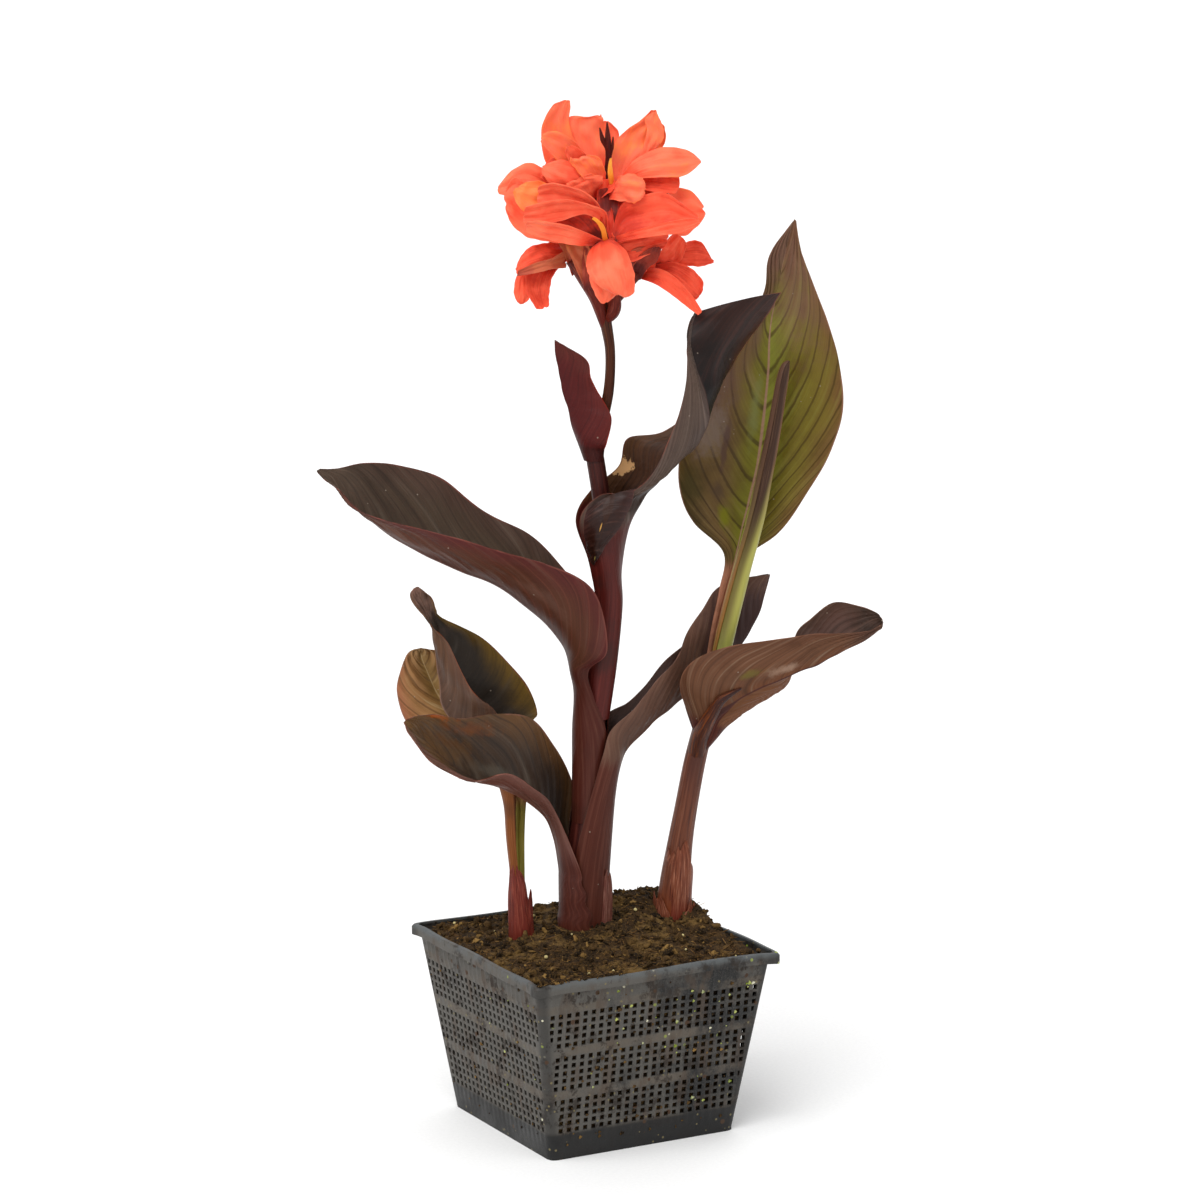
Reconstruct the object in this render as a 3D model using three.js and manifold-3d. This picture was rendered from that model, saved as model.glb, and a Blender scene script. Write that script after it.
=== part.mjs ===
// A dwarf, dark-leaved canna lily in flower, growing in a square mesh pond basket of peat.
// Millimetres, +Z up. The origin is the centre of the basket's underside and its walls face X and Y.
// The plant is described in its own frame (x across, y deep, z up), then turned as one by PLANT_TURN.
import * as THREE from 'three';
import { mergeVertices } from 'three/addons/utils/BufferGeometryUtils.js';
import Module from 'manifold-3d';

const wasm = await Module();
wasm.setup();

// Driving dimensions.
const PLANT_TURN = -28.9;
const RIM = 190;
const POT_HEIGHT = 133;
const BASE = 144;
const WALL = 2.2;
const LIP = 3.4;
const LIP_DROP = 8;
const FLOOR = 3;
const HOLE_BANDS = [26, 60, 94];
const HOLE_ROWS = 2;
const HOLE_COLUMNS = 5;
const HOLE_WIDE = 13;
const HOLE_HIGH = 9;
const HOLE_PITCH_X = 24;
const HOLE_PITCH_Z = 14;
const CLEAR = 0.35;
const BLADE = 0.8;
const PETAL = 0.8;
const SEED = 7;

const v3 = (p) => new THREE.Vector3(p[0], p[1], p[2]);
const rad = THREE.MathUtils.degToRad;

// Repeatable noise in -1..1 for a lattice point.
function hash(i, j, k) {
  const s = Math.sin(i * 127.1 + j * 311.7 + k * 74.7 + SEED * 19.19) * 43758.5453;
  return 2 * (s - Math.floor(s)) - 1;
}

// Closed triangle mesh to solid, and back to a three.js geometry.
function solidOf(verts, tris) {
  const mesh = new wasm.Mesh({
    numProp: 3,
    vertProperties: Float32Array.from(verts.flatMap((p) => [p.x, p.y, p.z])),
    triVerts: Uint32Array.from(tris.flat()),
  });
  return new wasm.Manifold(mesh);
}

function solidOfGeometry(geometry) {
  const bare = geometry.clone();
  bare.deleteAttribute('normal');
  bare.deleteAttribute('uv');
  const merged = mergeVertices(bare, 1e-4);
  return new wasm.Manifold(new wasm.Mesh({
    numProp: 3,
    vertProperties: Float32Array.from(merged.attributes.position.array),
    triVerts: Uint32Array.from(merged.index.array),
  }));
}

function geometryOf(solid) {
  const mesh = solid.getMesh();
  const geometry = new THREE.BufferGeometry();
  geometry.setAttribute('position', new THREE.BufferAttribute(Float32Array.from(mesh.vertProperties), 3));
  geometry.setIndex(new THREE.BufferAttribute(Uint32Array.from(mesh.triVerts), 1));
  geometry.computeVertexNormals();
  return geometry;
}

// The largest body of a solid: loose scraps left by a cut are dropped.
function mainBody(solid) {
  return solid.decompose().reduce((a, b) => (b.volume() > a.volume() ? b : a));
}

function joined(solids) {
  return solids.reduce((a, b) => a.add(b));
}

// What a piece keeps once its neighbours, grown by the clearance, are taken out of it.
function clearOf(solid, grown) {
  return mainBody(grown.reduce((a, b) => a.subtract(b), solid));
}

// Uniform Catmull-Rom between four values.
function spline(a, b, c, d, t) {
  const t2 = t * t;
  const t3 = t2 * t;
  return 0.5 * (2 * b + (c - a) * t + (2 * a - 5 * b + 4 * c - d) * t2 + (3 * b - a - 3 * c + d) * t3);
}

function splineRow(rows, i, t) {
  const n = rows.length - 1;
  const a = rows[Math.max(i - 1, 0)];
  const b = rows[i];
  const c = rows[i + 1];
  const d = rows[Math.min(i + 2, n)];
  return b.map((p, k) => new THREE.Vector3(
    spline(a[k].x, p.x, c[k].x, d[k].x, t),
    spline(a[k].y, p.y, c[k].y, d[k].y, t),
    spline(a[k].z, p.z, c[k].z, d[k].z, t),
  ));
}

// Rows of points made finer along their length.
function refined(rows, perSpan) {
  const out = [];
  for (let i = 0; i < rows.length - 1; i += 1) {
    for (let s = 0; s < perSpan; s += 1) {
      out.push(splineRow(rows, i, s / perSpan));
    }
  }
  out.push(rows[rows.length - 1]);
  return out;
}

// A thin closed sheet about a grid of points: rows run along it, columns across it.
// thick(i, j) gives the distance to the upper and lower face. Both faces share their diagonals.
// grow also pushes its four edges outwards.
function sheet(points, thick, grow = 0) {
  const rows = points.length;
  const cols = points[0].length;
  const outward = (from, to) => to.clone().sub(from).normalize().multiplyScalar(grow);
  const grid = points.map((row, i) => row.map((p, j) => {
    const q = p.clone();
    if (grow > 0 && (j === 0 || j === cols - 1)) {
      q.add(outward(row[j === 0 ? 1 : cols - 2], p));
    }
    if (grow > 0 && (i === 0 || i === rows - 1)) {
      q.add(outward(points[i === 0 ? 1 : rows - 2][j], p));
    }
    return q;
  }));
  const top = [];
  const low = [];
  for (let i = 0; i < rows; i += 1) {
    for (let j = 0; j < cols; j += 1) {
      const along = grid[Math.min(i + 1, rows - 1)][j].clone().sub(grid[Math.max(i - 1, 0)][j]);
      const across = grid[i][Math.min(j + 1, cols - 1)].clone().sub(grid[i][Math.max(j - 1, 0)]);
      const normal = across.cross(along).normalize();
      const [up, down] = thick(i, j);
      top.push(grid[i][j].clone().addScaledVector(normal, up));
      low.push(grid[i][j].clone().addScaledVector(normal, -down));
    }
  }
  const base = rows * cols;
  const tris = [];
  const at = (i, j) => i * cols + j;
  for (let i = 0; i < rows - 1; i += 1) {
    for (let j = 0; j < cols - 1; j += 1) {
      const a = at(i, j);
      const b = at(i, j + 1);
      const c = at(i + 1, j + 1);
      const d = at(i + 1, j);
      tris.push([a, b, c], [a, c, d], [base + a, base + c, base + b], [base + a, base + d, base + c]);
    }
  }
  for (let i = 0; i < rows - 1; i += 1) {
    const l = at(i, 0);
    const l2 = at(i + 1, 0);
    tris.push([l, l2, base + l2], [l, base + l2, base + l]);
    const r = at(i, cols - 1);
    const r2 = at(i + 1, cols - 1);
    tris.push([r, base + r2, r2], [r, base + r, base + r2]);
  }
  for (let j = 0; j < cols - 1; j += 1) {
    const s = at(0, j);
    const s2 = at(0, j + 1);
    tris.push([s, base + s, base + s2], [s, base + s2, s2]);
    const e = at(rows - 1, j);
    const e2 = at(rows - 1, j + 1);
    tris.push([e, base + e2, base + e], [e, e2, base + e2]);
  }
  return solidOf([...top, ...low], tris);
}

// Leaf stations. A wrap is the sheath round a stem; a blade is given by its left margin, its midrib
// and its right margin, seen from the upper face with the tip away, and how far each half bellies
// out towards the underside.
const wrap = (centre, radius, azimuth, left, right) => ({ centre, radius, azimuth, left, right });
const blade = (l, m, r, bellyL = 0.08, bellyR = 0.08) => ({ l, m, r, bellyL, bellyR });

function midOf(s) {
  if (s.m) {
    return v3(s.m);
  }
  const a = rad(s.azimuth);
  return v3(s.centre).add(new THREE.Vector3(Math.cos(a) * s.radius, Math.sin(a) * s.radius, 0));
}

function rowOf(station, along, across) {
  if (!station.m) {
    return across.map((v) => {
      const turn = v > 0 ? -v * station.right : -v * station.left;
      const a = rad(station.azimuth + turn);
      return v3(station.centre).add(
        new THREE.Vector3(Math.cos(a) * station.radius, Math.sin(a) * station.radius, 0),
      );
    });
  }
  const m = v3(station.m);
  const half = (edge, side, belly, t) => {
    const chord = v3(edge).sub(m);
    const under = chord.clone().cross(along).normalize().multiplyScalar(-side * chord.length() * belly);
    return m.clone().addScaledVector(chord, t).addScaledVector(under, 4 * t * (1 - t));
  };
  return across.map((v) => (v > 0
    ? half(station.r, 1, station.bellyR, v)
    : half(station.l, -1, station.bellyL, -v)));
}

function leafGrid(stations, across, perSpan) {
  const mids = stations.map(midOf);
  const rows = stations.map((s, i) => {
    const along = mids[Math.min(i + 1, mids.length - 1)].clone().sub(mids[Math.max(i - 1, 0)]).normalize();
    return rowOf(s, along, across);
  });
  return refined(rows, perSpan);
}

const WIDE = [-1, -0.78, -0.55, -0.32, -0.13, 0, 0.13, 0.32, 0.55, 0.78, 1];
const PLAIN = [-1, -0.72, -0.42, -0.14, 0, 0.14, 0.42, 0.72, 1];

// A leaf with its rib standing out below: the rib fades from the base to the tip.
function leaf(stations, across = PLAIN, perSpan = 2, grow = 0, rib = 1.2) {
  const grid = leafGrid(stations, across, perSpan);
  const centre = (across.length - 1) / 2;
  return sheet(grid, (i, j) => {
    const fade = 1 - i / (grid.length - 1);
    const keel = j === centre ? rib * fade : 0;
    return [BLADE / 2 + grow, BLADE / 2 + keel + grow];
  }, grow);
}

// A round solid along [x, y, z, radius] points, closed at both ends.
function stalk(points, sides = 12, perSpan = 1, grow = 0) {
  const rows = refined(points.map((p) => [v3(p), new THREE.Vector3(p[3] + grow, 0, 0)]), perSpan);
  const verts = [];
  const n = rows.length;
  for (let i = 0; i < n; i += 1) {
    const along = rows[Math.min(i + 1, n - 1)][0].clone().sub(rows[Math.max(i - 1, 0)][0]).normalize();
    const side = new THREE.Vector3(0, 1, 0).cross(along).normalize();
    const depth = along.clone().cross(side);
    const r = rows[i][1].x;
    const end = i === 0 ? -grow : (i === n - 1 ? grow : 0);
    for (let k = 0; k < sides; k += 1) {
      const a = (2 * Math.PI * k) / sides;
      verts.push(rows[i][0].clone()
        .addScaledVector(along, end)
        .addScaledVector(side, Math.cos(a) * r)
        .addScaledVector(depth, Math.sin(a) * r));
    }
  }
  const tris = [];
  for (let i = 0; i < n - 1; i += 1) {
    for (let k = 0; k < sides; k += 1) {
      const a = i * sides + k;
      const b = i * sides + ((k + 1) % sides);
      tris.push([a, b, b + sides], [a, b + sides, a + sides]);
    }
  }
  for (let k = 1; k < sides - 1; k += 1) {
    tris.push([0, k + 1, k]);
    const e = (n - 1) * sides;
    tris.push([e, e + k, e + k + 1]);
  }
  return solidOf(verts, tris);
}

// A petal: a bent strip from base through bend to tip, as wide as width at its fullest,
// its upper face towards face, cupped along its length and ruffled at the margins.
function petal({ base, bend, tip, width, face, cup = 0.18, ruffle = 0.05, full = 0.6 }, rows = 6, grow = 0) {
  const a = v3(base);
  const b = v3(bend);
  const c = v3(tip);
  const out = [];
  const towards = v3(face).normalize();
  for (let i = 0; i < rows; i += 1) {
    const t = i / (rows - 1);
    const p = a.clone().multiplyScalar((1 - t) * (1 - t))
      .addScaledVector(b, 2 * t * (1 - t)).addScaledVector(c, t * t);
    const along = b.clone().sub(a).multiplyScalar(1 - t).addScaledVector(c.clone().sub(b), t).normalize();
    const normal = towards.clone().addScaledVector(along, -towards.dot(along)).normalize();
    const side = along.clone().cross(normal);
    const swell = Math.sin(Math.PI * Math.pow(t, Math.log(0.5) / Math.log(full)));
    const half = Math.max(width * Math.pow(swell, 0.75), t < 0.5 ? 2.2 : 1.2);
    out.push([-1, -0.5, 0, 0.5, 1].map((v) => {
      const wave = Math.sin(9 * t + 2.1 * v + 0.13 * (base[0] + tip[2])) * ruffle * width * Math.abs(v);
      return p.clone().addScaledVector(side, half * v)
        .addScaledVector(normal, half * cup * v * v + wave);
    }));
  }
  return sheet(out, () => [PETAL / 2 + grow, PETAL / 2 + grow], grow);
}

// ---------------------------------------------------------------------------------------------
// Basket.

function squareRing(half, corner, z, segments = 4) {
  const ring = [];
  for (let q = 0; q < 4; q += 1) {
    for (let s = 0; s <= segments; s += 1) {
      const a = (q + s / segments) * (Math.PI / 2);
      const cx = (half - corner) * (q === 0 || q === 3 ? 1 : -1);
      const cy = (half - corner) * (q < 2 ? 1 : -1);
      ring.push(new THREE.Vector3(cx + corner * Math.cos(a), cy + corner * Math.sin(a), z));
    }
  }
  return ring;
}

// Rings stacked into a solid whose first and last rings are closed by fans.
function stack(rings, lastPoint) {
  const n = rings[0].length;
  const verts = [new THREE.Vector3(0, 0, rings[0][0].z), ...rings.flat(), lastPoint];
  const tris = [];
  for (let k = 0; k < n; k += 1) {
    tris.push([0, 1 + ((k + 1) % n), 1 + k]);
    const last = 1 + (rings.length - 1) * n;
    tris.push([last + k, last + ((k + 1) % n), verts.length - 1]);
  }
  for (let i = 0; i < rings.length - 1; i += 1) {
    for (let k = 0; k < n; k += 1) {
      const a = 1 + i * n + k;
      const b = 1 + i * n + ((k + 1) % n);
      tris.push([a, b, b + n], [a, b + n, a + n]);
    }
  }
  return solidOf(verts, tris);
}

const wallHalf = (z) => BASE / 2 + ((RIM / 2 - LIP - BASE / 2) * z) / (POT_HEIGHT - LIP_DROP);

function basket() {
  const under = POT_HEIGHT - LIP_DROP;
  const rings = [
    squareRing(BASE / 2 - 1, 5, 0),
    squareRing(wallHalf(1.4), 6, 1.4),
    squareRing(wallHalf(under), 6, under),
    squareRing(RIM / 2, 6, under + 1),
    squareRing(RIM / 2, 6, POT_HEIGHT - 0.8),
    squareRing(RIM / 2 - 0.8, 5.6, POT_HEIGHT),
    squareRing(wallHalf(under) - WALL, 5, POT_HEIGHT),
    squareRing(wallHalf(under) - WALL, 5, under),
    squareRing(wallHalf(FLOOR) - WALL, 5, FLOOR),
  ];
  let solid = stack(rings, new THREE.Vector3(0, 0, FLOOR));
  const box = (w, d, h, x, y, z, turn) => {
    const geometry = new THREE.BoxGeometry(w, d, h);
    geometry.translate(x, y, z);
    geometry.rotateZ(turn);
    return solidOfGeometry(geometry);
  };
  const cutters = [];
  for (let side = 0; side < 4; side += 1) {
    for (const band of HOLE_BANDS) {
      for (let row = 0; row < HOLE_ROWS; row += 1) {
        const z = band + (row - 0.5) * HOLE_PITCH_Z;
        for (let column = 0; column < HOLE_COLUMNS; column += 1) {
          const x = (column - (HOLE_COLUMNS - 1) / 2) * HOLE_PITCH_X;
          cutters.push(box(HOLE_WIDE, 12, HOLE_HIGH, x, -wallHalf(z) + 1, z, (side * Math.PI) / 2));
        }
      }
    }
  }
  for (const x of [-48, -24, 24, 48]) {
    for (const y of [-48, -24, 24, 48]) {
      cutters.push(box(10, 10, 3 * FLOOR, x, y, FLOOR / 2, 0));
    }
  }
  for (const cutter of cutters) {
    solid = solid.subtract(cutter);
  }
  return solid;
}

// ---------------------------------------------------------------------------------------------
// Peat: filled to just under the rim in front and heaped behind the middle stem.

function peatHeight(x, y) {
  const a = rad(-PLANT_TURN);
  const px = x * Math.cos(a) - y * Math.sin(a);
  const py = x * Math.sin(a) + y * Math.cos(a);
  const heap = 20 * Math.exp(-((px - 42) ** 2 / 3400 + (py - 58) ** 2 / 1700));
  const crown = 9 * Math.exp(-((px - 2) ** 2 + (py - 10) ** 2) / 3800);
  return 127 + heap + crown;
}

function peat() {
  const inner = (z) => wallHalf(z) - WALL - 0.6;
  const rings = [
    squareRing(inner(FLOOR + 0.5), 4.6, FLOOR + 0.5),
    squareRing(inner(POT_HEIGHT - LIP_DROP) - 0.2, 4.6, POT_HEIGHT - LIP_DROP - 1),
  ];
  const shares = [0.97, 0.88, 0.77, 0.64, 0.5, 0.35, 0.18];
  shares.forEach((share, i) => {
    const ring = squareRing((inner(POT_HEIGHT - LIP_DROP) - 0.4) * share, 5 + 60 * share * (1 - share), 0);
    ring.forEach((p, k) => {
      p.z = peatHeight(p.x, p.y) + (i === 0 ? -1.2 : 1.6 * hash(i, k, 3));
    });
    rings.push(ring);
  });
  return stack(rings, new THREE.Vector3(0, 0, peatHeight(0, 0)));
}

// ---------------------------------------------------------------------------------------------
// Stems. Points are [x, y, z, radius].

const CULM = [
  [-7, 18, 96, 11], [-7, 18, 131, 14], [-6, 18, 176, 14], [-3, 20, 215, 11.4], [-2, 20, 250, 11.2],
  [-1, 20, 270, 10.2], [0, 20, 290, 8.8], [5, 20, 318, 8.4], [9.5, 20, 345, 8.2], [11, 20, 370, 8],
  [10, 20, 398, 7.4], [8, 20, 418, 6.6], [5, 20, 441, 6.2],
  [3, 20, 476, 6.4], [7, 20, 496, 4.2], [11, 20, 518, 3.2], [12, 20, 545, 3.1], [9, 20, 570, 3.6],
  [8, 20, 600, 3.4], [8, 20, 640, 2.8], [9, 20, 668, 2],
];
const SPIKE = [
  [[9, 20, 664, 2], [12, 19, 678, 2.6], [15, 18, 692, 0.8]],
  [[9, 20, 664, 2], [9, 19, 684, 3], [11, 19, 702, 0.8]],
  [[9, 20, 668, 1.6], [6, 21, 684, 2.2], [6, 21, 698, 0.8]],
];
const OVARIES = [
  [[8, 20, 566, 2.6], [0, 14, 582, 4.4], [-9, 10, 598, 4], [-15, 7, 608, 3]],
  [[9, 20, 572, 2.6], [17, 16, 584, 4.2], [25, 13, 594, 4.2], [32, 12, 600, 3]],
  [[10, 19, 566, 2.4], [15, 14, 576, 4.2], [18, 12, 588, 1]],
];

const RIGHT_STEM = [
  [55, 44, 92, 8], [56, 44, 129, 11], [58, 44, 158, 10.6], [62, 44, 190, 8.8], [67, 44, 220, 8],
  [72, 44, 248, 7.8], [76.5, 43.5, 268, 7.4], [81, 43, 286, 6.2],
];
const LEFT_STEM = [
  [-51, 4, 92, 6], [-51, 4, 128, 8.6], [-52, 4, 150, 8], [-53, 4, 166, 6.6],
];
const ROLL = [
  [80.6, 43.2, 284, 4.6], [83, 42, 296, 5.4], [87, 40, 312, 6.2], [92, 40, 334, 6.8], [98, 41, 360, 7], [105, 42, 388, 6.6],
  [110, 43, 408, 6.6], [115, 44, 430, 6.8], [119, 46, 453, 6.4], [124, 48, 478, 5.6],
  [129, 50, 505, 4.6], [133, 51, 522, 3.6], [137, 52, 532, 0.9],
];

// ---------------------------------------------------------------------------------------------
// Leaves of the middle stem.

const LEAF_A = [
  wrap([-2.5, 20, 212], 12.4, 180, 160, 160),
  wrap([-1.8, 20, 248], 12.7, 180, 160, 160),
  wrap([-1.5, 20, 278], 12.9, 180, 158, 158),
  wrap([-0.5, 20, 303], 12.8, 180, 140, 158),
  blade([5, 3, 324], [-16, 18, 322], [8, 37, 324], 0.3, 0.3),
  blade([9, -3, 347], [-22, 14, 342], [4, 42, 354], 0.26, 0.2),
  blade([0, -14, 384], [-38, 9, 361], [-20, 46, 386], 0.2, 0.12),
  blade([-33, -26, 404], [-63, 2, 382], [-46, 48, 414], 0.12, 0.1),
  blade([-65, -32, 415], [-90, -4, 395], [-78, 46, 433], 0.08, 0.08),
  blade([-96, -34, 424], [-119, -8, 409], [-106, 40, 453]),
  blade([-128, -30, 432], [-145, -8, 425], [-134, 28, 464]),
  blade([-160, -18, 440], [-167, -8, 445], [-158, 14, 468]),
  blade([-179, -8, 455], [-180, -5, 458], [-176, 3, 466]),
  blade([-189, -5, 464], [-190, -4, 465.5], [-188, -2, 466.5]),
];

const LEAF_B = [
  wrap([-7, 18, 116], 17.6, 190, 112, 160),
  wrap([-6, 18, 150], 18, 190, 100, 160),
  wrap([-6, 18, 178], 18.2, 190, 72, 155),
  blade([-20, -1, 209], [-27, 10, 201], [-8, 37, 207], 0.1, 0.26),
  blade([-30, -12, 233], [-34, 0, 220], [-12, 32, 236], 0.1, 0.18),
  blade([-41, -30, 247], [-47, -14, 235], [-23, 18, 267]),
  blade([-58, -48, 261], [-64, -28, 247], [-44, 2, 290]),
  blade([-80, -62, 263], [-82, -44, 257], [-69, -14, 296]),
  blade([-99, -72, 272], [-99, -58, 273], [-90, -32, 297]),
  blade([-115, -80, 284], [-114, -70, 290], [-109, -50, 304]),
  blade([-124, -84, 299], [-123, -80, 302], [-120, -72, 307]),
  blade([-127, -83, 304], [-128, -82, 305.5], [-126, -80, 307]),
];

const LEAF_H = [
  wrap([-6, 18, 116], 15.8, 0, 160, 150),
  wrap([-5, 18, 160], 15.9, 0, 160, 135),
  wrap([-2.6, 19, 200], 15.4, 0, 160, 118),
  wrap([0.6, 20, 232], 14.8, 0, 150, 98),
  blade([-2, 37, 260], [20, 21, 254], [7, 6, 262], 0.24, 0.2),
  blade([8, 42, 286], [25, 26, 266], [13, 12, 279], 0.1, 0.1),
  blade([24, 50, 296], [37, 32, 277], [30, 18, 294]),
  blade([37, 58, 307], [49, 38, 287], [44, 26, 310]),
  blade([51, 66, 322], [62, 46, 295], [57, 34, 324]),
  blade([69, 74, 331], [79, 55, 306], [66, 45, 341]),
  blade([87, 80, 350], [95, 62, 318], [77, 54, 356]),
  blade([101, 84, 363], [109, 68, 335], [87, 61, 370]),
  blade([113, 82, 374], [119, 71, 355], [103, 68, 376]),
  blade([124, 77, 378], [125.5, 75, 378], [123, 73, 378]),
];

const LEAF_E = [
  wrap([1, 20, 286], 10.2, 0, 160, 160),
  wrap([7, 20, 325], 9.8, 0, 160, 160),
  wrap([11, 20, 366], 9.6, 0, 160, 158),
  blade([-6, 30, 396], [20, 20, 392], [-5, 10, 396], 0.4, 0.4),
  blade([-11, 38, 422], [26, 18, 420], [-4, 4, 428], 0.34, 0.3),
  blade([-1, 40, 444], [36, 14, 438], [6, 1, 444], 0.24, 0.2),
  blade([15, 38, 459], [47, 10, 453], [24, -4, 446], 0.16, 0.14),
  blade([26, 34, 476], [61, 8, 466], [41, -8, 464], 0.1, 0.1),
  blade([47, 32, 488], [73, 4, 481], [52, -10, 487], 0.1, 0.1),
  blade([70, 34, 503], [79, 0, 502], [59, -12, 507], 0.12, 0.1),
  blade([86, 36, 520], [77, -2, 518], [64, -12, 528], 0.16, 0.1),
  blade([99, 36, 538], [71, 0, 535], [65, -6, 544], 0.16, 0.1),
  blade([112, 34, 555], [67, 4, 549], [64, 1, 554], 0.16, 0.1),
  blade([122, 30, 573], [68, 10, 564], [66, 8, 565], 0.16, 0.1),
  blade([130, 26, 585], [72, 14, 573], [70, 13, 573], 0.12, 0.1),
];

// Leaves of the right shoot.

const LEAF_F = [
  blade([83, 51, 300], [80, 52, 300], [77, 51, 300], 0.2, 0.2),
  blade([91, 49, 342], [87, 51, 342], [83, 49, 342], 0.2, 0.2),
  blade([99, 52, 371], [94, 55, 371], [89, 52, 371], 0.2, 0.2),
  blade([109, 58, 394], [101, 59, 395], [94, 56, 396], 0.1, 0.1),
  blade([133, 60, 410], [105, 62, 413], [74, 60, 418]),
  blade([154, 62, 438], [110, 66, 432], [61, 60, 441]),
  blade([170, 64, 468], [116, 69, 458], [61, 64, 466]),
  blade([176, 66, 499], [120, 71, 490], [67, 66, 492]),
  blade([173, 66, 529], [123, 71, 524], [82, 66, 520]),
  blade([165, 64, 558], [124, 69, 554], [100, 66, 548]),
  blade([156, 62, 587], [128, 66, 582], [114, 62, 580]),
  blade([147, 60, 611], [134, 62, 609], [117, 60, 607]),
  blade([141.5, 60, 631], [140.5, 61, 632], [139, 61, 630]),
];

const LEAF_G = [
  blade([87, 39, 264], [81, 35.6, 264], [75, 37.5, 264], 0.2, 0.2),
  blade([90, 31, 272], [84, 32, 275], [70, 32, 279], 0.2, 0.2),
  blade([95, 28, 277], [87, 31, 286], [64, 26, 294]),
  blade([102, 24, 283], [94, 28, 296], [61, 20, 312]),
  blade([112, 23, 291], [104, 25, 304], [72, 16, 328]),
  blade([123, 24, 299], [116, 24, 309], [94, 14, 338]),
  blade([136, 27, 312], [130, 22, 315], [120, 16, 342]),
  blade([151, 34, 321], [145, 22, 325], [139, 20, 344]),
  blade([167, 38, 327], [161, 24, 331], [153, 26, 356]),
  blade([181, 38, 334], [175, 26, 337], [172, 32, 366]),
  blade([193, 36, 343], [189, 28, 345], [189, 34, 363]),
  blade([203, 33, 351], [202, 32, 353], [201, 32, 357]),
];

// Leaves of the left shoot.

const LEAF_C = [
  blade([-57, -5, 150], [-61, 0, 150], [-57, 5, 150], 0.3, 0.3),
  blade([-58, -6, 175], [-62, 0, 174], [-58, 6, 173], 0.3, 0.3),
  blade([-58, -6, 204], [-63, 0, 203], [-58, 7, 201], 0.3, 0.3),
  blade([-56, -7, 233], [-64, 2, 231], [-58, 11, 229], 0.2, 0.2),
  blade([-56, -12, 262], [-72, 2, 256], [-54, 18, 262]),
  blade([-59, -16, 282], [-89, 2, 275], [-44, 22, 280]),
  blade([-69, -16, 298], [-102, 2, 293], [-41, 24, 286]),
  blade([-80, -16, 310], [-106, 2, 310], [-48, 24, 305]),
  blade([-91, -14, 326], [-108, 2, 327], [-62, 22, 323]),
  blade([-101, -8, 345], [-110, 2, 344], [-80, 16, 342]),
  blade([-109, -2, 360], [-112, 2, 359], [-104, 8, 359]),
  blade([-114, 0, 370], [-119, 2, 366], [-112, 4, 367]),
  blade([-119, 0, 379], [-126, 1, 375], [-118, 3, 378]),
  blade([-123.5, 0, 383], [-125, 1, 382], [-123, 2, 382]),
];

const LEAF_D = [
  blade([-44, 11, 150], [-48, 14, 150], [-52, 13, 150], 0.2, 0.2),
  blade([-45, 11, 175], [-49, 15, 175], [-53, 13, 175], 0.2, 0.2),
  blade([-46, 13, 204], [-50, 17, 204], [-54, 14, 204], 0.2, 0.2),
  blade([-44, 18, 229], [-50, 21, 228], [-56, 18, 229], 0.2, 0.2),
  blade([-42, 28, 250], [-62, 28, 248], [-81, 26, 245]),
  blade([-48, 36, 272], [-81, 34, 264], [-115, 28, 264]),
  blade([-64, 40, 292], [-97, 38, 283], [-132, 30, 282]),
  blade([-79, 42, 306], [-110, 40, 299], [-138, 32, 302]),
  blade([-93, 42, 319], [-117, 40, 315], [-135, 34, 318]),
  blade([-107, 40, 329], [-121, 38, 327], [-130, 36, 329]),
  blade([-119, 37, 332], [-121, 37, 332.5], [-124, 36, 332]),
];

// The bract that sheathes the foot of the flower stalk.

const SPATHE = [
  wrap([3.4, 20, 462], 7.3, 180, 100, 100),
  wrap([2.6, 20, 474], 8.6, 180, 92, 92),
  blade([10, 6, 484], [-14, 19, 492], [10, 34, 482], 0.16, 0.16),
  blade([13, 8, 500], [-16, 19, 505], [12, 32, 498], 0.12, 0.12),
  blade([7, 12, 512], [-19, 20, 517], [6, 29, 511], 0.1, 0.1),
  blade([-1, 15, 526], [-21, 20, 531], [-1, 25, 525]),
  blade([-6, 18, 537], [-23, 20, 542], [-6, 23, 536]),
  blade([-20, 19, 548], [-25, 20, 550], [-20, 21.5, 548]),
];

// ---------------------------------------------------------------------------------------------
// Blooms: floral tubes with their petals. The crowded upper blooms grow into one head round the
// stalk, and two hang free below it. base, bend and tip are plant-frame points.

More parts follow.
